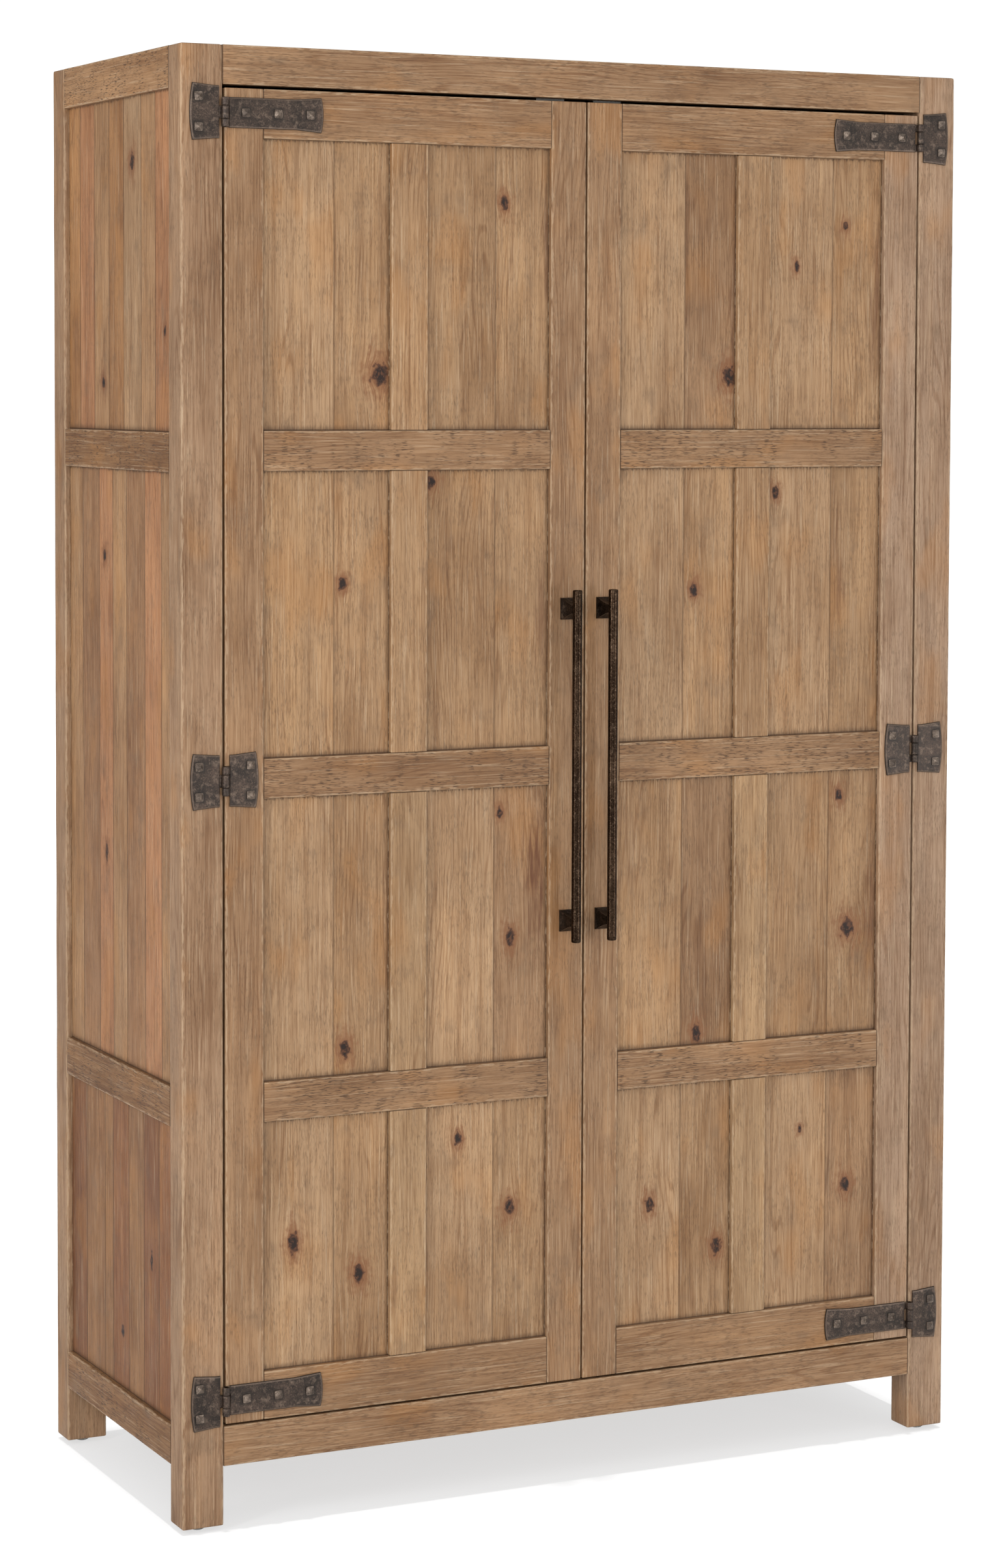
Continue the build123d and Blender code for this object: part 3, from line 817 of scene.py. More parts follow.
    def finished(self, tree: bpy.types.NodeTree, material: bpy.types.Material, colour: Any,
                 place: Any) -> bpy.types.Material:
        """Add the shader: wax sheen that varies in clouds, and pores and streaks as fine relief.

        Args:
            tree: node tree.
            material: material that owns it.
            colour: finished colour.
            place: grain coordinates.

        Returns:
            The material.
        """
        relief = add(tree, "Math", self.tones[5].amount(tree, place), -1.2, operation="MULTIPLY")
        relief = add(tree, "Math", self.flecks.amount(tree, place), -0.6, relief, operation="MULTIPLY_ADD")
        bump = add(tree, "Bump", {"Strength": 0.4, "Distance": 0.4 * MM, "Height": relief})
        rough = add(tree, "Math", self.sheen.amount(tree, place), 0.16, self.roughness - 0.08,
                    operation="MULTIPLY_ADD")
        deep = add(tree, "Mix", {0: 1.0, 6: colour, 7: (*self.depth, 1)}, data_type="RGBA",
                   blend_type="MULTIPLY", out=2)
        shader = add(tree, "BsdfPrincipled", {"Base Color": deep, "Roughness": rough, "Normal": bump,
                                              "IOR": 1.47, "Specular IOR Level": 0.30})
        add(tree, "OutputMaterial", shader)
        return material

    def fitting(self, name: str, along: int, tone: Tone, width: float = 0.118) -> bpy.types.Material:
        """Build the finish for a plain CAD board, on its Object coordinates, glued up from even strips.

        Args:
            name: name of the material.
            along: axis number that the grain runs along.
            tone: its colour.
            width: width of one strip in metres.

        Returns:
            The material.
        """
        material, tree = fresh(name)
        axes = add(tree, "SeparateXYZ", add(tree, "TexCoord", out="Object")).node.outputs
        u, v, w = (axes[n] for n in {0: (1, 0, 2), 1: (0, 1, 2)}[along])
        turns = add(tree, "Math", u, width, operation="DIVIDE")
        strip = add(tree, "Math", turns, operation="FLOOR")
        toned = add(tree, "TexWhiteNoise", {"W": strip}, noise_dimensions="1D")
        place = add(tree, "CombineXYZ", u, add(tree, "Math", strip, 1.7, v, operation="MULTIPLY_ADD"), w)
        shade = add(tree, "Math", toned, 0.3, operation="MULTIPLY")
        tint = add(tree, "Mix", {0: shade, 6: linear(tone.value), 7: linear(Tone.BROWN_TAN.value)},
                   data_type="RGBA", out=2)
        colour = self.clear_wood(tree, tint, place, u, 0.4)
        inside = add(tree, "Math", add(tree, "Math", turns, operation="FRACT"), 0.5, operation="SUBTRACT")
        seam = add(tree, "MapRange", add(tree, "Math", inside, operation="ABSOLUTE"), 0.494, 0.498, 0.0, 0.7)
        colour = add(tree, "Mix", {0: seam, 6: colour, 7: linear(DARK_WAX_AND_SHADE)}, data_type="RGBA", out=2)
        return self.finished(tree, material, colour, place)


@dataclass(frozen=True)
class ForgedIron:
    """Forged iron under old black wax: hammer marks, pits, a black outline, rubbed brown-grey patches.

    hammer, patch and pit are the sizes of the marks in millimetres; the last field is how strongly the
    hammer marks' tops are worn.
    """

    dark: str = "#1f1813"
    brown: str = "#45372e"
    worn: str = "#7f6c5d"
    roughness: float = 0.44
    hammer: float = 9.0
    patch: float = 30.0
    pit: float = 2.0
    metallic: float = 0.55
    bump: float = 0.55
    paled: float = 0.5

    def material(self, name: str) -> bpy.types.Material:
        """Build the finish.

        The rim attribute says how far a point is from its piece's outline and, in nail widths, from a nail:
        wax stays black along the outline and round each nail, and the first bare strip inside is rubbed.

        Args:
            name: name of the material.

        Returns:
            The material.
        """
        material, tree = fresh(name)
        place = add(tree, "TexCoord", out="Object")
        rim = parts(tree, "rim")
        marks, patch, pits = (
            add(tree, "TexNoise", {"Vector": place, "Scale": 1 / (size * MM), "Detail": 3.0})
            for size in (self.hammer, self.patch, self.pit))
        share = add(tree, "MapRange", patch, 0.36, 0.64, 0.15, 0.95)
        colour = add(tree, "Mix", {0: share, 6: linear(self.dark), 7: linear(self.brown)},
                     data_type="RGBA", out=2)
        layers = (
            (add(tree, "MapRange", marks, 0.52, 0.72, 0.0, self.paled), self.worn),
            (add(tree, "MapRange", pits, 0.58, 0.74, 0.0, 0.35), self.worn),
            (add(tree, "MapRange", pits, 0.48, 0.34, 0.0, 0.75), self.dark),
            (add(tree, "MapRange", rim[1], 1.75, 1.0, 0.0, 0.80), self.dark),
            (add(tree, "MapRange", rim[0], 2.6 * MM, 1.3 * MM, 0.0, 0.35), self.worn),
            (add(tree, "MapRange", rim[0], 0.9 * MM, 0.3 * MM, 0.0, 0.90), self.dark),
        )
        for amount, over in layers:
            colour = add(tree, "Mix", {0: amount, 6: colour, 7: linear(over)}, data_type="RGBA", out=2)
        relief = add(tree, "Math", marks, 0.8, pits, operation="MULTIPLY_ADD")
        bump = add(tree, "Bump", {"Strength": self.bump, "Distance": 0.5 * MM, "Height": relief})
        rough = add(tree, "Math", pits, 0.25, self.roughness - 0.12, operation="MULTIPLY_ADD")
        shader = add(tree, "BsdfPrincipled", {"Base Color": colour, "Metallic": self.metallic,
                                              "Roughness": rough, "Normal": bump})
        add(tree, "OutputMaterial", shader)
        return material


IRON = ForgedIron()
NAIL_IRON = ForgedIron(dark="#3d332c", brown="#67594d", worn="#97877a", roughness=0.38, patch=9.0, bump=0.2)
BRONZE = ForgedIron(dark="#1d140e", brown="#3a2c21", worn="#8a735f", roughness=0.30, hammer=11.0,
                    patch=60.0, pit=2.4, metallic=1.0, bump=0.3, paled=0.1)
POST_IRON = ForgedIron(dark="#150f0b", brown="#33281f", worn="#6b5a4c", roughness=0.32, hammer=10.0,
                       patch=16.0, metallic=0.85, bump=0.3)
STEEL = ForgedIron(dark="#77746f", brown="#8b8883", worn="#b9b7b2", roughness=0.34, hammer=5.0,
                   patch=12.0, metallic=1.0, bump=0.15)


# ---------------------------------------------------------------- ironwork
@dataclass
class Ironwork:
    """Hinges, nails and pulls of one hand.

    Sizes are millimetres. A root is a leaf's height at the pin and an end its height at the far edge, a
    flare where it starts to widen and a bulge how far its edge bows out. reach is how far above or below a
    hinge's middle its nails may be; the knuckle spans are measured from that middle.
    """

    side: int
    hand: str
    leaf_width: float = 38.0
    leaf_root: float = 70.5
    leaf_end: float = 77.0
    leaf_bulge: float = 4.0
    leaf_flare: float = 6.0
    strap_length: float = 134.0
    strap_root: float = 41.0
    strap_end: float = 47.5
    strap_bulge: float = 3.2
    strap_flare: float = 96.0
    thickness: float = 3.0
    setback: float = 7.5
    barrel: float = 5.3
    bevel: float = 1.3
    nail_head: float = 12.5
    nail_edge: float = 1.0
    nail_height: float = 4.5
    bar_radius: float = 6.97
    post_base: tuple[float, float] = (22.0, 31.0)
    post_neck: tuple[float, float] = (8.0, 10.0)
    plate: float = 3.0
    post_rise: float = 32.0
    reach: float = 60.0
    middle_knuckle: tuple[float, float] = (-8.7, 8.7)
    outer_knuckles: tuple[tuple[float, float], ...] = ((-20.0, -9.0), (9.0, 20.0))

    def __post_init__(self) -> None:
        """Take the pin axis and the front face from the frame."""
        joint = next(j for j in frame["joints"] if j["name"] == f"{self.hand}_door_hinge")
        self.axis = (joint["pos_m"][0], joint["pos_m"][1])
        self.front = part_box(f"{self.hand}_door_hinge_stile")[0].y

    def leaf(self, towards: int, height: float, sizes: tuple[float, float, float, float, float],
             seed: int) -> Patch:
        """Flat leaf: its half height grows from the flare to the end, whose edge bows out as a parabola.

        The top is the thickness, less a bevel that falls over the last millimetre and shallow hammer dents.

        Args:
            towards: +1 onto the post, -1 onto the door.
            height: height of its middle above the floor, in metres.
            sizes: length, root height, end height, bulge and flare start, in millimetres.
            seed: seed of its hammer marks.

        Returns:
            The closed patch.
        """
        length, root, end, bulge, flare = sizes
        rng = np.random.default_rng(seed)
        between = np.linspace(self.bevel, length - self.bevel, max(12, int(length / 2.5)))
        lines = np.concatenate([[0.0, 0.4 * self.bevel], between,
                                [length - 0.4 * self.bevel, length]]) / length
        inset = self.bevel / (root / 2)
        rows = np.concatenate([[-1, -1 + 0.4 * inset], np.linspace(-1 + inset, 1 - inset, 25),
                               [1 - 0.4 * inset, 1]])
        s, t = np.meshgrid(lines, rows, indexing="ij")
        x = s * (length + bulge * (1 - t ** 2))
        opened = np.clip((s * length - flare) / (length - flare), 0, 1)
        half = (root + (end - root) * opened) / 2
        z = t * half * (1 - 0.006 * (1 + ripple(rng, x, t * 10, 40)) * opened)
        away = np.minimum((1 - np.abs(t)) * half, (1 - s) * length)
        spots = self.nail_spots(towards, height)
        fall = 0.8 * np.clip(1 - away / self.bevel, 0, 1)
        dent = 0.16 * (1 + ripple(rng, x, z, 15.0))
        top = self.thickness - fall - dent
        start = self.axis[0] * 1000 + self.side * towards * self.setback
        world = np.stack([start + self.side * towards * x, self.front * 1000 - top, height * 1000 + z], -1)
        under = world.copy()
        under[..., 1] = self.front * 1000
        patch = slab(world * MM, under * MM)
        gaps = np.abs(patch.points[:, None, [0, 2]] - spots[None]).max(axis=2).min(axis=1)
        patch.values["rim"] = np.stack([np.tile(away.ravel(), 2) * MM, gaps / (self.nail_head / 2 * MM),
                                        np.zeros(len(gaps))], 1)
        return patch

    def nail_spots(self, towards: int, height: float) -> np.ndarray:
        """Find the nails through one leaf, from the frame.

        Args:
            towards: +1 for the leaf on the post, -1 for the one on the door.
            height: height of the hinge's middle, in metres.

        Returns:
            Places across and up, in metres, one row per nail.
        """
        node = "post_nails" if towards > 0 else f"{self.hand}_door_nails"
        middles = solid_boxes(node).mean(axis=1)
        level = np.abs(middles[:, 2] - height) < self.reach * MM
        mine = level & (np.sign(middles[:, 0]) == self.side)
        return middles[mine][:, [0, 2]]

    def knuckle(self, height: float, span: tuple[float, float], seed: int) -> Patch:
        """Rolled barrel round the pin: a circle carried up, its ends eased and its skin dented.

        Args:
            height: height of the hinge's middle in metres.
            span: its two ends from there, in millimetres.
            seed: seed of its unevenness.

        Returns:
            The closed patch.
        """
        rng = np.random.default_rng(seed)
        up = np.concatenate([[span[0], span[0] + 0.5], np.linspace(span[0] + 1.4, span[1] - 1.4, 7),
                             [span[1] - 0.5, span[1]]])
        turn = np.linspace(0, math.tau, 28, endpoint=False)
        z, angle = np.meshgrid(up, turn, indexing="ij")
        ease = np.interp(up, [span[0], span[0] + 0.5, span[0] + 1.4, span[1] - 1.4, span[1] - 0.5, span[1]],
                         [0.86, 0.96, 1, 1, 0.96, 0.86])[:, None]
        radius = (self.barrel - 0.1 * (1 + ripple(rng, angle * 5, z, 9.0))) * ease
        rings = np.stack([self.axis[0] * 1000 + radius * np.cos(angle),
                          self.axis[1] * 1000 + radius * np.sin(angle), height * 1000 + z], -1)
        return plain_rim(tube(rings * MM))

    def tab(self, towards: int, height: float, span: tuple[float, float]) -> Patch:
        """Short strip from a barrel to its leaf, as thick as the leaf less its bevel.

        Args:
            towards: +1 onto the post, -1 onto the door.
            height: height of the hinge's middle, in metres.
            span: the barrel's two ends from there, in millimetres.

        Returns:
            The closed patch.
        """
        near, far = self.axis[0], self.axis[0] + self.side * towards * (self.setback + 1) * MM
        s, t = np.meshgrid(np.linspace(near, far, 4), np.linspace(*span, 6) * MM + height, indexing="ij")
        top = np.stack([s, np.full_like(s, self.front - (self.thickness - 0.3) * MM), t], -1)
        under = top.copy()
        under[..., 1] = self.front - 0.7 * MM
        return plain_rim(slab(top, under))

    def nail(self, x: float, z: float, seed: int) -> Patch:
        """Forged nail head: four faces that rise to a small flat top.

        The rise falls with the larger of the two offsets from the middle, softened as a high power mean,
        and the corners are drawn in a little.

        Args:
            x: place across, in metres.
            z: height, in metres.
            seed: seed of its small turn and unevenness.

        Returns:
            The closed patch.
        """
        rng = np.random.default_rng(seed)
        lines = np.array([-1, -0.93, -0.62, -0.34, -0.14, 0, 0.14, 0.34, 0.62, 0.93, 1])
        a, b = np.meshgrid(lines, lines, indexing="ij")
        reach = (np.abs(a) ** 10 + np.abs(b) ** 10) ** 0.1
        drawn = 1 - 0.07 * (a * b) ** 4
        rise = self.nail_edge + (self.nail_height - self.nail_edge) * np.clip((0.97 - reach) / 0.83, 0, 1)
        tilt = rng.uniform(-0.08, 0.08)
        half = self.nail_head / 2 * 0.93
        px = half * drawn * (a * math.cos(tilt) - b * math.sin(tilt))
        pz = half * drawn * (a * math.sin(tilt) + b * math.cos(tilt))
        rise -= 0.12 * (1 + ripple(rng, px, pz, 6.0)) * (reach < 0.99)
        base = self.front * 1000 - self.thickness + 0.4
        top = np.stack([x * 1000 + px, base - 0.4 - rise, z * 1000 + pz], -1)
        under = top.copy()
        under[..., 1] = base
        return plain_rim(slab(top * MM, under * MM))

    def nails(self, node: str) -> list[Patch]:
        """Make the nail heads of this hand where the frame has them.

        Args:
            node: CAD node of the nails.

        Returns:
            One patch per nail.
        """
        middles = [box.mean(axis=0) for box in solid_boxes(node)]
        mine = [middle for middle in middles if np.sign(middle[0]) == self.side]
        return [self.nail(middle[0], middle[2], 900 + n + 40 * self.side) for n, middle in enumerate(mine)]

    def bar(self) -> Patch:
        """Long round bar: a circle carried up, lightly uneven, with eased ends.

        Returns:
            The closed patch.
        """
        low, high = (np.array(c) * 1000 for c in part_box(f"{self.hand}_pull_bar"))
        rng = np.random.default_rng(71 + self.side)
        up = np.concatenate([[low[2], low[2] + 0.5], np.linspace(low[2] + 1.6, high[2] - 1.6, 90),
                             [high[2] - 0.5, high[2]]])
        turn = np.linspace(0, math.tau, 36, endpoint=False)
        z, angle = np.meshgrid(up, turn, indexing="ij")
        ends = np.minimum(up - low[2], high[2] - up)
        ease = np.interp(ends, [0, 0.5, 1.6], [0.78, 0.91, 1])[:, None]
        radius = (self.bar_radius - 0.07 * (1 + ripple(rng, angle * 7, z * 0.5, 12.0))) * ease
        middle = (low + high) / 2
        rings = np.stack([middle[0] + radius * np.cos(angle), middle[1] + radius * np.sin(angle), z], -1)
        return plain_rim(tube(rings * MM))

    def pull_post(self, box: np.ndarray, seed: int) -> Patch:
        """Hollow-sided pyramid on a plate.

        Each level is a square ring whose sides are pressed in a little, its half sizes falling to the neck
        with the square of the distance still to rise, so the four corners run up as crisp curved ridges.

        Args:
            box: box of the CAD post, in metres.
            seed: seed of its unevenness.

        Returns:
            The closed patch.
        """
        rng = np.random.default_rng(seed)
        centre = box.mean(axis=0) * 1000
        face = self.front * 1000
        reach = face - box[0][1] * 1000
        out = np.concatenate([[0, self.plate - 0.4, self.plate],
                              np.linspace(self.plate + 0.8, reach - 3, 16)])
        rise = np.clip((out - self.plate) / (self.post_rise - self.plate), 0, 1)
        shrink = (1 - rise) ** 2
        wide, tall = ((neck + (base - neck) * shrink) / 2
                      for neck, base in zip(self.post_neck, self.post_base))
        along = np.linspace(-1, 1, 9)[:-1]
        press = 0.10 * (1 - along ** 2) * np.clip(rise * 3, 0, 1)[:, None]
        a = np.broadcast_to(along, press.shape)
        b = 1 - press
        across = np.concatenate([a, b, -a, -b], axis=1)
        upward = np.concatenate([-b, a, b, -a], axis=1)
        uneven = 1 - 0.012 * (1 + ripple(rng, across * 9, out[:, None] + upward * 9, 11.0))
        rings = np.stack([centre[0] + wide[:, None] * across * uneven,
                          np.broadcast_to((face - out)[:, None], across.shape),
                          centre[2] + tall[:, None] * upward * uneven], -1)
        return plain_rim(tube(rings * MM))

    def build(self, iron: bpy.types.Material, nails: bpy.types.Material, bronze: bpy.types.Material,
              posts_iron: bpy.types.Material) -> None:
        """Make every iron piece of this hand.

        Args:
            iron: finish of the hinges.
            nails: finish of the nail heads.
            bronze: finish of the pull bars.
            posts_iron: finish of the pull posts.
        """
        hand, door = self.hand, f"{self.hand}_door"
        leaf = (self.leaf_width, self.leaf_root, self.leaf_end, self.leaf_bulge, self.leaf_flare)
        strap = (self.strap_length, self.strap_root, self.strap_end, self.strap_bulge, self.strap_flare)
        inner = self.middle_knuckle
        heights = [box.mean(axis=0)[2] for box in solid_boxes(f"hinge_post_leaves_{hand}")]
        on_post, on_door = [], {"strap": [], "middle": []}
        for number, height in enumerate(heights):
            seed = 500 + number * 9 + 60 * self.side
            on_post += [self.leaf(1, height, leaf, seed), self.tab(1, height, inner),
                        self.knuckle(height, inner, seed)]
            kind = "middle" if number == 1 else "strap"
            on_door[kind].append(self.leaf(-1, height, leaf if number == 1 else strap, seed + 3))
            for span in self.outer_knuckles:
                on_door[kind] += [self.tab(-1, height, span), self.knuckle(height, span, seed + 4)]
        make_piece(f"{hand}_forged_post_leaves", joined(on_post), iron, "carcass",
                   (f"hinge_post_leaves_{hand}",))
        make_piece(f"{door}_forged_straps", joined(on_door["strap"]), iron, door,
                   (f"{door}_strap_leaves",))
        make_piece(f"{door}_forged_middle_leaf", joined(on_door["middle"]), iron, door,
                   (f"{door}_middle_leaf",))
        make_piece(f"{door}_nail_heads", joined(self.nails(f"{door}_nails")), nails, door,
                   (f"{door}_nails",), smooth=False)
        make_piece(f"{hand}_forged_bar", self.bar(), bronze, door, (f"{hand}_pull_bar",))
        posts = [self.pull_post(box, 300 + n) for n, box in enumerate(solid_boxes(f"{hand}_pull_posts"))]
        make_piece(f"{hand}_forged_pull_posts", joined(posts), posts_iron, door,
                   (f"{hand}_pull_posts",), smooth=False)


# ---------------------------------------------------------------- doors
@dataclass(frozen=True)
class PanelPlan:
    """How one panel is glued up: its glue lines as shares of its width, tones, and each board's knots."""

    lines: tuple[float, ...]
    tones: tuple[Tone, ...]
    knots: tuple[tuple[Knot, ...], ...]
    burns: tuple[Burn | None, ...] = NO_BURNS


HEART_EDGE = Burn(0.97, 0.5, 13, 230, 0.5)
LEFT_STREAK = Burn(0.02, 0.4, 6, 140, 0.9)


def pair(left: tuple[Knot, ...] = (), right: tuple[Knot, ...] = (), light: Tone = Tone.LIMED,
         dark: Tone = Tone.HONEY, line: float = 0.56, streak: Burn | None = None,
         heart: Burn | None = HEART_EDGE) -> PanelPlan:
    """Plan the usual door panel: a lighter board beside a darker one, often with red heart at its edge.

    Args:
        left: knots of the left board.
        right: knots of the right board.
        light: tone of the left board.
        dark: tone of the right board.
        line: where the glue line is, as a share of the width.
        streak: heartwood smear of the left board.
        heart: heartwood smear of the right board.

    Returns:
        The plan.
    """
    return PanelPlan((line,), (light, dark), (left, right), (streak, heart))


# rows from the floor up, each with its left and its right panel
DOOR_PANELS = {
    "left": (
        (pair((Knot(0.45, 0.5, 7.5, 1.9),), (Knot(0.45, 0.35, 8),), heart=None),
         pair((Knot(0.5, 0.85, 6),), (Knot(0.3, 0.55, 8, 1.4),), streak=LEFT_STREAK)),
        (pair((), (Knot(0.2, 0.1, 7.5, 1.7),)),
         pair((), (Knot(0.1, 0.9, 4.5), Knot(0.3, 0.45, 6.5, 2.0)), Tone.LIMED, Tone.TAN,
              heart=Burn(0.76, 0.66, 27, 135, 0.9))),
        (pair((), (Knot(0.15, 0.6, 6),), Tone.HONEY, heart=None),
         pair((Knot(0.1, 0.95, 6.5),), (), Tone.HONEY, heart=Burn(0.9, 0.45, 22, 120, 0.5))),
        (pair((), (Knot(0.8, 0.2, 13, 1.2),), heart=None),
         pair((), (Knot(0.15, 0.8, 6),), Tone.HONEY, heart=Burn(0.96, 0.6, 16, 150, 0.6))),
    ),
    "right": (
        (pair((Knot(0.55, 0.5, 6.5, 1.8),), (Knot(0.7, 0.3, 8),), heart=None),
         pair((Knot(0.6, 0.75, 3.5),), (Knot(0.4, 0.5, 8, 1.4),), Tone.LIMED, Tone.TAN, streak=LEFT_STREAK)),
        (pair((), (Knot(0.3, 0.05, 7.5, 1.8),), Tone.HONEY, Tone.TAN, heart=None),
         pair((), (Knot(0.2, 0.9, 6), Knot(0.4, 0.4, 11, 1.3)), Tone.HONEY,
              heart=Burn(0.9, 0.4, 20, 170, 0.5))),
        (pair((), (Knot(0.2, 0.55, 6),), heart=None),
         pair((Knot(0.15, 0.9, 6),), (), heart=Burn(0.2, 0.6, 14, 110, 0.55))),
        (pair((), (Knot(0.85, 0.2, 11, 1.2),), Tone.LIMED, Tone.TAN),
         pair((Knot(0.45, 0.6, 3.5, 2.6),), (Knot(0.25, 0.75, 4.5),), heart=Burn(0.9, 0.5, 18, 190, 0.55))),
    ),
}


@dataclass
class Door:
    """One framed door: stiles, rails, muntins and eight sunk panels."""

    side: int
    hand: str
    tenon: float = 28.0
    stub: float = 10.0
    tuck: float = 3.0

    def build(self, wood: bpy.types.Material) -> None:
        """Make the door's boards, each where the frame has it.

        A rail stops at its shoulders, so its CAD box is shortened by a tenon at each end; a muntin's box
        loses its stubs. A panel reaches a little way into the frame round it.

        Args:
            wood: finish of the boards.
        """
        body = f"{self.hand}_door"
        seed = 1000 + 300 * self.side
        stiles = {}
        for number, kind in enumerate(("hinge", "lock")):
            box = solid_boxes(f"{body}_{kind}_stile")[0]
            stiles[kind] = box
            tone = Tone.GREY_POST if self.side > 0 and kind == "hinge" else Tone.TAN
            board = Board(box[0], box[1], 2, 1, -1, tone, seed + number, jointed=False)
            make_piece(f"{body}_{kind}_stile_board", board.patch(), wood, body,
                       (f"{body}_{kind}_stile",))
        rails = self.build_rails(wood, body, seed)
        muntins = shortened(f"{body}_muntins", 2, self.stub)
        uprights = [Board(box[0], box[1], 2, 1, -1, Tone.HONEY if number > 1 else Tone.PALE_HONEY,
                          seed + 30 + number).patch() for number, box in enumerate(muntins)]
        make_piece(f"{body}_muntin_boards", joined(uprights), wood, body, (f"{body}_muntins",))
        edges = sorted((stiles["hinge"], stiles["lock"]), key=lambda b: b[0][0])
        panels = []
        for number, box in enumerate(solid_boxes(f"{body}_panels")):
            row, column = divmod(number, 2)
            left = edges[0][1][0] if column == 0 else muntins[row][1][0]
            right = muntins[row][0][0] if column == 0 else edges[1][0][0]
            opening = np.array([[left, box[0][1], rails[row][1][2]],
                                [right, box[1][1], rails[row + 1][0][2]]])
            under = np.array([self.tuck * MM, 0.0, self.tuck * MM])
            plan = DOOR_PANELS[self.hand][row][column]
            model = Board(box[0], box[1], 2, 1, -1, Tone.HONEY, seed + 50 + 7 * number, arris=0.5 * MM,
                          relief=0.35 * MM, opening=opening, glaze_and_shade=1.0, wear_and_highlight=0.0, flecks=0.3, seam=0.35)
            panels += [b.patch() for b in glued(opening[0] - under, opening[1] + under, 0, plan.lines,
                                                plan.tones, plan.knots, model, plan.burns)]
        make_piece(f"{body}_panel_boards", joined(panels), wood, body, (f"{body}_panels",))

    def build_rails(self, wood: bpy.types.Material, body: str, seed: int) -> list[np.ndarray]:
        """Make the door's rails.

        Args:
            wood: finish of the boards.
            body: name of the door's body.
            seed: the door's first seed.

        Returns:
            Boxes of the rails between their shoulders, from the floor up.
        """
        rails = []
        for number, kind in enumerate(("bottom_rail", "mid_rails", "top_rail")):
            boxes = shortened(f"{body}_{kind}", 0, self.tenon)
            rails += boxes
            boards = [Board(box[0], box[1], 0, 1, -1, Tone.BROWN_TAN, seed + 10 + 4 * number + count,
                            flecks=1.0 if kind == "mid_rails" else 0.5).patch()
                      for count, box in enumerate(boxes)]
            make_piece(f"{body}_{kind}_boards", joined(boards), wood, body, (f"{body}_{kind}",))
        return sorted(rails, key=lambda b: b[0][2])


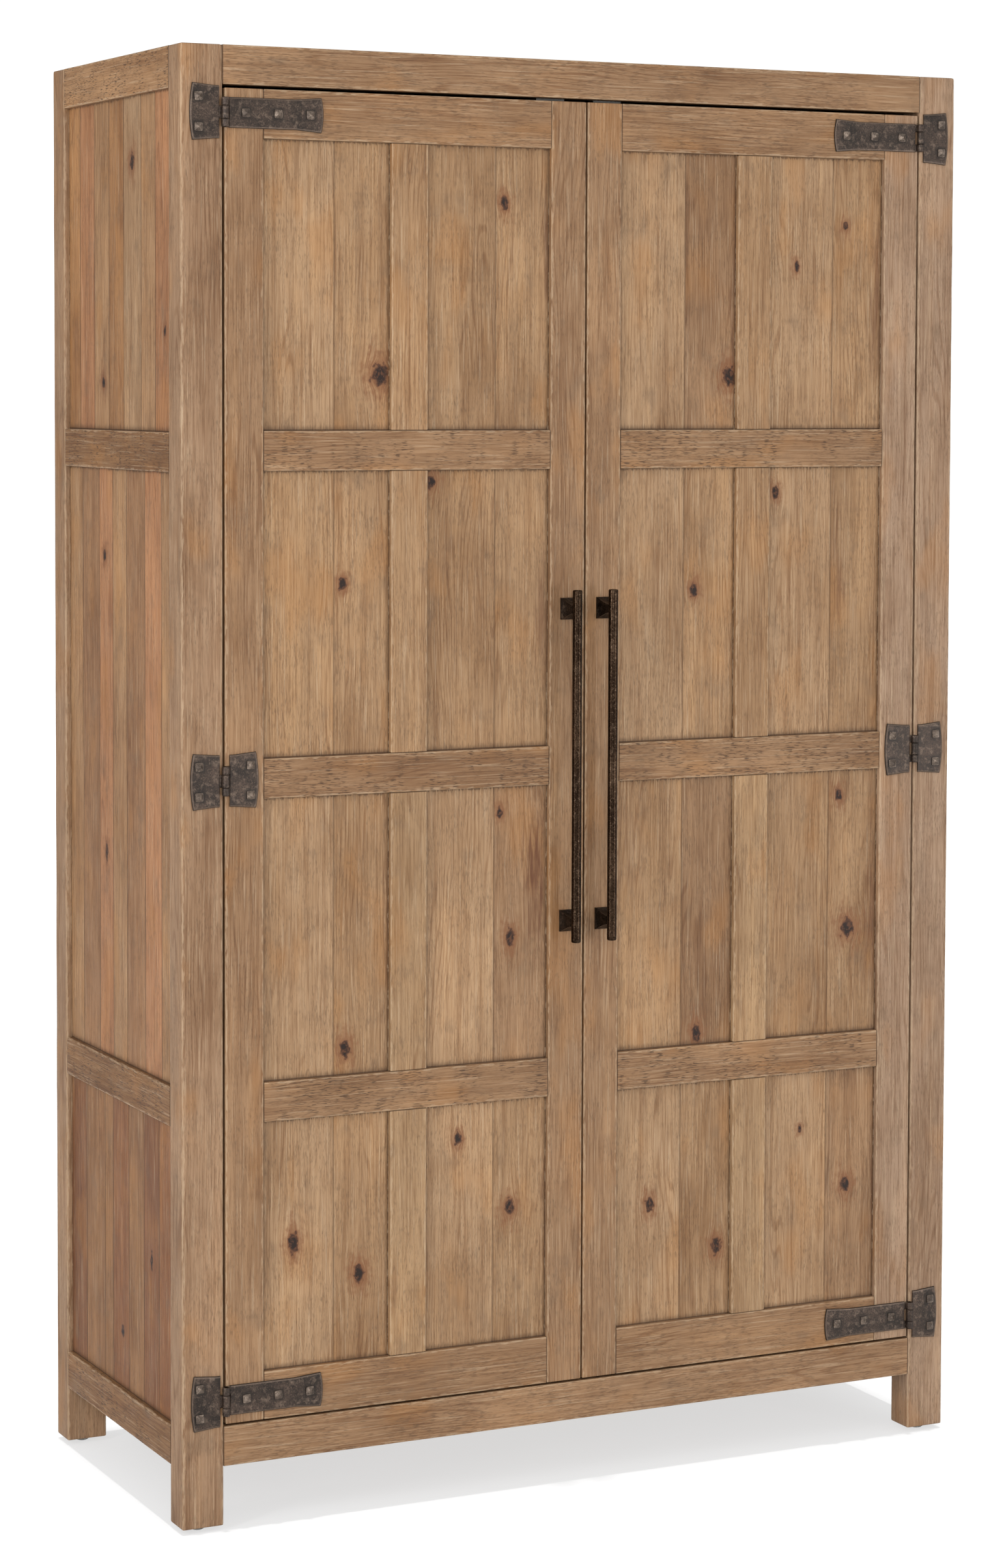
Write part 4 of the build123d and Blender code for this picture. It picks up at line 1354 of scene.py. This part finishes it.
# ---------------------------------------------------------------- carcass
@dataclass
class Carcass:
    """Posts, rails and panels of the fixed body."""

    tenon: float = 28.0
    stub: float = 10.0
    tuck: float = 3.0

    def build(self, wood: bpy.types.Material) -> None:
        """Make the posts, then the front, the back and both sides.

        Args:
            wood: finish of the boards.
        """
        for side, hand in HANDS:
            for end, face in (("front", -1), ("back", 1)):
                name = f"{end}_post_{hand}"
                box = solid_boxes(name)[0]
                tone = Tone.WORN_POST if side < 0 else Tone.GREY_POST
                # posts get the widest pale arrises: wear and a painted highlight
                board = Board(box[0], box[1], 2, 1, face, tone, 200 + 7 * side + face, arris=2.6 * MM,
                              wear_and_highlight=1.3, jointed=False)
                make_piece(f"{name}_board", board.patch(), wood, "carcass", (name,))
        for name, face, tone in (("front_top_rail", -1, Tone.TAN), ("front_bottom_rail", -1, Tone.TAN),
                                 ("back_top_rail", 1, Tone.TAN), ("back_bottom_rail", 1, Tone.TAN)):
            box = shortened(name, 0, self.tenon)[0]
            board = Board(box[0], box[1], 0, 1, face, tone, 230 + len(name), flecks=0.5)
            make_piece(f"{name}_board", board.patch(), wood, "carcass", (name,))
        self.build_back(wood)
        for side, hand in HANDS:
            self.build_side(wood, side, hand)

    def build_back(self, wood: bpy.types.Material) -> None:
        """Make the centre stile and the two back panels, each glued up from four boards.

        Args:
            wood: finish of the boards.
        """
        stile = shortened("back_centre_stile", 2, self.stub)[0]
        board = Board(stile[0], stile[1], 2, 1, 1, Tone.TAN, 261)
        make_piece("back_centre_stile_board", board.patch(), wood, "carcass",
                   ("back_centre_stile",))
        posts = [solid_boxes(f"back_post_{hand}")[0] for _, hand in HANDS]
        limits = ((posts[0][1][0], stile[0][0]), (stile[1][0], posts[1][0][0]))
        tones = (Tone.TAN, Tone.HONEY, Tone.RUSSET, Tone.LIMED)
        knots = ((), (Knot(0.5, 0.4, 8),), (), (Knot(0.4, 0.8, 6.5),))
        patches = []
        for number, (box, (left, right)) in enumerate(zip(solid_boxes("back_panels"), limits)):
            opening = np.array([[left, box[0][1], stile[0][2]], [right, box[1][1], stile[1][2]]])
            under = np.array([self.tuck * MM, 0.0, self.tuck * MM])
            model = Board(box[0], box[1], 2, 1, 1, Tone.HONEY, 270 + 9 * number, arris=0.5 * MM,
                          opening=opening, glaze_and_shade=1.0, wear_and_highlight=0.0, flecks=0.3, seam=0.45, step=20 * MM)
            patches += [b.patch() for b in glued(opening[0] - under, opening[1] + under, 0,
                                                 (0.26, 0.5, 0.73), tones, knots, model)]
        make_piece("back_panel_boards", joined(patches), wood, "carcass", ("back_panels",))

    def build_side(self, wood: bpy.types.Material, side: int, hand: str) -> None:
        """Make the rails and the three panels of one side, each panel glued up from narrow boards.

        Args:
            wood: finish of the boards.
            side: -1 for the left, +1 for the right.
            hand: its name.
        """
        rails = []
        for number, kind in enumerate(("side_bottom_rail", "side_mid_rails", "side_top_rail")):
            name = f"{kind}_{hand}"
            boxes = shortened(name, 1, self.tenon)
            rails += boxes
            tone = Tone.SIDE_TAN if kind == "side_top_rail" else Tone.RAIL_BROWN
            patches = [Board(b[0], b[1], 1, 0, side, tone, 300 + 5 * number + n + 40 * side,
                             flecks=1.0).patch()
                       for n, b in enumerate(boxes)]
            make_piece(f"{name}_boards", joined(patches), wood, "carcass", (name,))
        rails.sort(key=lambda b: b[0][2])
        front, back = (solid_boxes(f"{end}_post_{hand}")[0] for end in ("front", "back"))
        lines = ((0.15, 0.29, 0.43, 0.58, 0.66, 0.84), (0.12, 0.27, 0.44, 0.57, 0.70, 0.86),
                 (0.17, 0.30, 0.46, 0.60, 0.74, 0.88))
        tones = ((Tone.LOW_RUSSET, Tone.LOW_BROWN, Tone.LOW_TAN, Tone.LOW_RUSSET, Tone.LOW_TAN, Tone.LOW_TAN,
                  Tone.LOW_BROWN),
                 (Tone.SIDE_TAN, Tone.SIDE_ROSE, Tone.SIDE_BROWN, Tone.SIDE_TAN, Tone.SIDE_ROSE,
                  Tone.SIDE_BROWN, Tone.SIDE_TAN),
                 (Tone.SIDE_ROSE, Tone.SIDE_TAN, Tone.LIMED, Tone.RUSSET, Tone.SIDE_TAN, Tone.SIDE_ROSE,
                  Tone.RUSSET))
        marks = (((), (Knot(0.5, 0.5, 4.5, 3.0),), (), (Knot(0.4, 0.2, 6),), (), (), ()),
                 ((), (), (), (), (Knot(0.5, 0.35, 6, 2.0), Knot(0.6, 0.85, 6)), (), ()),
                 ((Knot(0.5, 0.3, 4.5),), (), (Knot(0.5, 0.8, 7.5),), (), (Knot(0.4, 0.15, 6),), (), ()))
        patches = []
        for row, box in enumerate(solid_boxes(f"side_panels_{hand}")):
            opening = np.array([[box[0][0], front[1][1], rails[row][1][2]],
                                [box[1][0], back[0][1], rails[row + 1][0][2]]])
            under = np.array([0.0, self.tuck * MM, self.tuck * MM])
            model = Board(box[0], box[1], 2, 0, side, Tone.TAN, 400 + 40 * side + 9 * row, arris=0.5 * MM,
                          opening=opening, glaze_and_shade=1.0, wear_and_highlight=0.0, flecks=0.3, seam=0.6, step=18 * MM)
            patches += [b.patch() for b in glued(opening[0] - under, opening[1] + under, 1, lines[row],
                                                 tones[row], marks[row], model)]
        make_piece(f"side_panel_boards_{hand}", joined(patches), wood, "carcass",
                   (f"side_panels_{hand}",))


@dataclass
class Fittings:
    """Boards and hardware inside, kept as the frame has them, and the glides and post nails.

    A glide's profile is shares of its radius at heights in millimetres.
    """

    glide_segments: int = 40
    glide_shares: tuple[float, ...] = (0.42, 0.62, 0.78, 0.9, 0.97, 1.0, 1.0, 0.98)
    glide_heights: tuple[float, ...] = (0.0, 0.25, 0.9, 2.0, 3.3, 4.6, 6.5, 7.0)

    def dress(self, nodes: tuple[str, ...], material: bpy.types.Material) -> None:
        """Give CAD nodes that stay in view their finish.

        Args:
            nodes: names of the nodes.
            material: their finish.
        """
        for node in nodes:
            slots = frame["nodes"][node].data.materials
            slots.clear()
            slots.append(material)

    def glide(self, box: np.ndarray) -> Patch:
        """Domed glide under a post: a profile of radius and height carried round the nail's axis.

        Args:
            box: box of the CAD glide, whose nail stands above its head.

        Returns:
            The closed patch.
        """
        centre, radius = box.mean(axis=0), (box[1][0] - box[0][0]) / 2
        share = np.array(self.glide_shares)
        height = np.array(self.glide_heights) * MM
        turn = np.linspace(0, math.tau, self.glide_segments, endpoint=False)
        rings = np.stack([centre[0] + radius * share[:, None] * np.cos(turn),
                          centre[1] + radius * share[:, None] * np.sin(turn),
                          np.broadcast_to(height[:, None], (len(share), len(turn)))], -1)
        return plain_rim(tube(rings))

    def build(self, finish: WaxedWood, iron: bpy.types.Material, nails: bpy.types.Material,
              steel: bpy.types.Material) -> None:
        """Dress what stays and make the glides and the nails of the post leaves.

        Args:
            finish: the wood's finish.
            iron: finish of the hinges.
            nails: finish of the nail heads.
            steel: finish of the plain fittings.
        """
        across = finish.fitting("waxed_wood_across", 0, Tone.INSIDE)
        deep = finish.fitting("waxed_wood_deep", 1, Tone.INSIDE)
        self.dress(("top_panel", "floor_panel", "upper_shelf", "adjustable_shelf", "clothes_rod"), across)
        self.dress(("shelf_cleats",), deep)
        self.dress(("hinge_pins_left", "hinge_pins_right"), iron)
        self.dress(("shelf_pins", "rod_sockets", "door_catches", "left_strike_plate", "right_strike_plate"),
                   steel)
        glides = joined([self.glide(box) for box in solid_boxes("glides")])
        make_piece("domed_glides", glides, steel, "carcass", ("glides",))
        heads = [patch for side, hand in HANDS for patch in Ironwork(side, hand).nails("post_nails")]
        make_piece("post_nail_heads", joined(heads), nails, "carcass", ("post_nails",),
                   smooth=False)


# ---------------------------------------------------------------- studio
@dataclass(frozen=True)
class Softbox:
    """A rectangular light that looks at the armoire's middle: place and size in metres, power in watts."""

    name: str
    place: tuple[float, float, float]
    size: tuple[float, float]
    watts: float


SOFTBOXES = (
    Softbox("key", (-2.2, -4.6, 2.0), (1.6, 1.6), 58),
    Softbox("high_side", (-3.6, -1.8, 2.3), (0.5, 1.8), 50),
    Softbox("left_strip", (-4.8, -1.5, 0.55), (0.22, 1.5), 44),
    Softbox("right_strip", (2.9, -5.0, 0.55), (0.22, 1.5), 66),
)


@dataclass
class Studio:
    """White floor, soft lights and a camera that looks a little down at the left front corner.

    stand is the camera's place in metres; turn, tip and lean are its angles in degrees, from +Y, from level
    and about its own line of sight. The sky is lighter overhead, on the window's side and to the right, and
    has its own strength where the camera sees it; the floor has two glows in the same way.
    """

    stand: tuple[float, float, float] = (-2.37, -4.85, 1.57)
    turn: float = 25.9
    tip: float = -3.16
    lean: float = 0.19
    lens: float = 84.1
    shift: float = -0.126
    seen: float = 1.06
    sky: float = 0.62
    overhead: float = 0.45
    window: float = 0.30
    slant: float = 0.2
    least: float = 0.2
    above: float = 4.6
    above_spread: float = 2.6
    floor_reach: float = 14.0
    floor_depth: float = 0.02
    floor_grey: float = 0.22
    floor_glow: float = 0.45
    floor_glow_seen: float = 0.64

    def camera(self) -> None:
        """Place the camera.

        Its forward line is the turn and the tip taken as angles on a sphere; its right and up lines are
        then turned about that line by the lean.
        """
        turn, tip, lean = (math.radians(a) for a in (self.turn, self.tip, self.lean))
        forward = Vector((math.sin(turn) * math.cos(tip), math.cos(turn) * math.cos(tip), math.sin(tip)))
        right = Vector((math.cos(turn), -math.sin(turn), 0))
        up = right.cross(forward)
        rolled = math.cos(lean) * right + math.sin(lean) * up
        raised = math.cos(lean) * up - math.sin(lean) * right
        camera = bpy.data.objects.new("camera", bpy.data.cameras.new("camera"))
        bpy.context.scene.collection.objects.link(camera)
        facing = Matrix((rolled, raised, -forward)).transposed().to_4x4()
        camera.matrix_world = Matrix.Translation(self.stand) @ facing
        camera.data.lens = self.lens
        camera.data.shift_y = self.shift
        bpy.context.scene.camera = camera

    def hang(self, box: Softbox) -> None:
        """Hang a softbox.

        Args:
            box: the softbox.
        """
        light = bpy.data.lights.new(box.name, "AREA")
        light.shape = "RECTANGLE"
        light.size, light.size_y = box.size
        light.energy = box.watts
        lamp = bpy.data.objects.new(box.name, light)
        lamp.location = box.place
        lamp.rotation_euler = (Vector((0, 0, 1.0)) - Vector(box.place)).to_track_quat("-Z", "Y").to_euler()
        bpy.context.scene.collection.objects.link(lamp)

    def floor(self) -> bpy.types.Object:
        """Make the floor: a thin square slab whose top is at nought, and its finish.

        Returns:
            The floor.
        """
        reach = np.linspace(-self.floor_reach, self.floor_reach, 15)
        x, y = np.meshgrid(reach, reach, indexing="ij")
        top = np.stack([x, y, np.zeros_like(x)], -1)
        under = top - np.array([0, 0, self.floor_depth])
        patch = slab(top, under)
        mesh = bpy.data.meshes.new("floor")
        mesh.from_pydata(patch.points.tolist(), [], patch.quads.tolist())
        floor = bpy.data.objects.new("floor", mesh)
        bpy.context.scene.collection.objects.link(floor)
        material, tree = fresh("white_floor")
        seen = add(tree, "LightPath", out="Is Camera Ray")
        glow = add(tree, "MapRange", seen, 0.0, 1.0, self.floor_glow, self.floor_glow_seen)
        shader = add(tree, "BsdfPrincipled", {"Base Color": (*(self.floor_grey,) * 3, 1), "Roughness": 0.9,
                                              "Specular IOR Level": 0.0, "Emission Color": (1, 1, 1, 1),
                                              "Emission Strength": glow})
        add(tree, "OutputMaterial", shader)
        mesh.materials.append(material)
        return floor

    def heavens(self) -> None:
        """Make the sky, whose strength rises with three parts of the direction looked in."""
        world = bpy.data.worlds.new("studio")
        world.use_nodes = True
        bpy.context.scene.world = world
        tree = world.node_tree
        tree.nodes.clear()
        way = add(tree, "TexCoord", out="Generated")
        x, y, z = add(tree, "SeparateXYZ", way).node.outputs
        glow = add(tree, "Math", z, self.overhead, self.sky, operation="MULTIPLY_ADD")
        glow = add(tree, "Math", y, -self.window, glow, operation="MULTIPLY_ADD")
        glow = add(tree, "Math", x, self.window * self.slant, glow, operation="MULTIPLY_ADD")
        glow = add(tree, "Math", glow, self.least, operation="MAXIMUM")
        seen = add(tree, "LightPath", out="Is Camera Ray")
        strength = add(tree, "Mix", {0: seen, 2: glow, 3: self.seen})
        add(tree, "OutputWorld", add(tree, "Background", (1, 1, 1, 1), strength))

    def shine_down(self, floor: bpy.types.Object) -> None:
        """Light the floor alone from straight above, so that the armoire's footprint shows as a shadow.

        Args:
            floor: the floor.
        """
        above = bpy.data.lights.new("straight_above", "SUN")
        above.energy = self.above
        above.angle = math.radians(self.above_spread)
        lamp = bpy.data.objects.new("straight_above", above)
        lit = bpy.data.collections.new("lit_from_above")
        lit.objects.link(floor)
        lamp.light_linking.receiver_collection = lit
        bpy.context.scene.collection.objects.link(lamp)

    def build(self) -> None:
        """Make the floor, the sky, the lights and the camera."""
        floor = self.floor()
        self.heavens()
        for box in SOFTBOXES:
            self.hang(box)
        self.shine_down(floor)
        bpy.context.scene.view_settings.view_transform = "Standard"
        self.camera()


def main() -> None:
    """Build the armoire and its studio."""
    logging.basicConfig(level=logging.INFO, format="%(message)s")
    finish = WaxedWood()
    wood = finish.material("waxed_limed_wood")
    iron = IRON.material("forged_iron_black_wax")
    nails = NAIL_IRON.material("forged_nail_iron")
    bronze = BRONZE.material("dark_bronzed_iron")
    posts_iron = POST_IRON.material("black_post_iron")
    steel = STEEL.material("plain_steel")
    Carcass().build(wood)
    for side, hand in HANDS:
        Door(side, hand).build(wood)
        Ironwork(side, hand).build(iron, nails, bronze, posts_iron)
    Fittings().build(finish, iron, nails, steel)
    Studio().build()


if __name__ == "__main__":
    main()
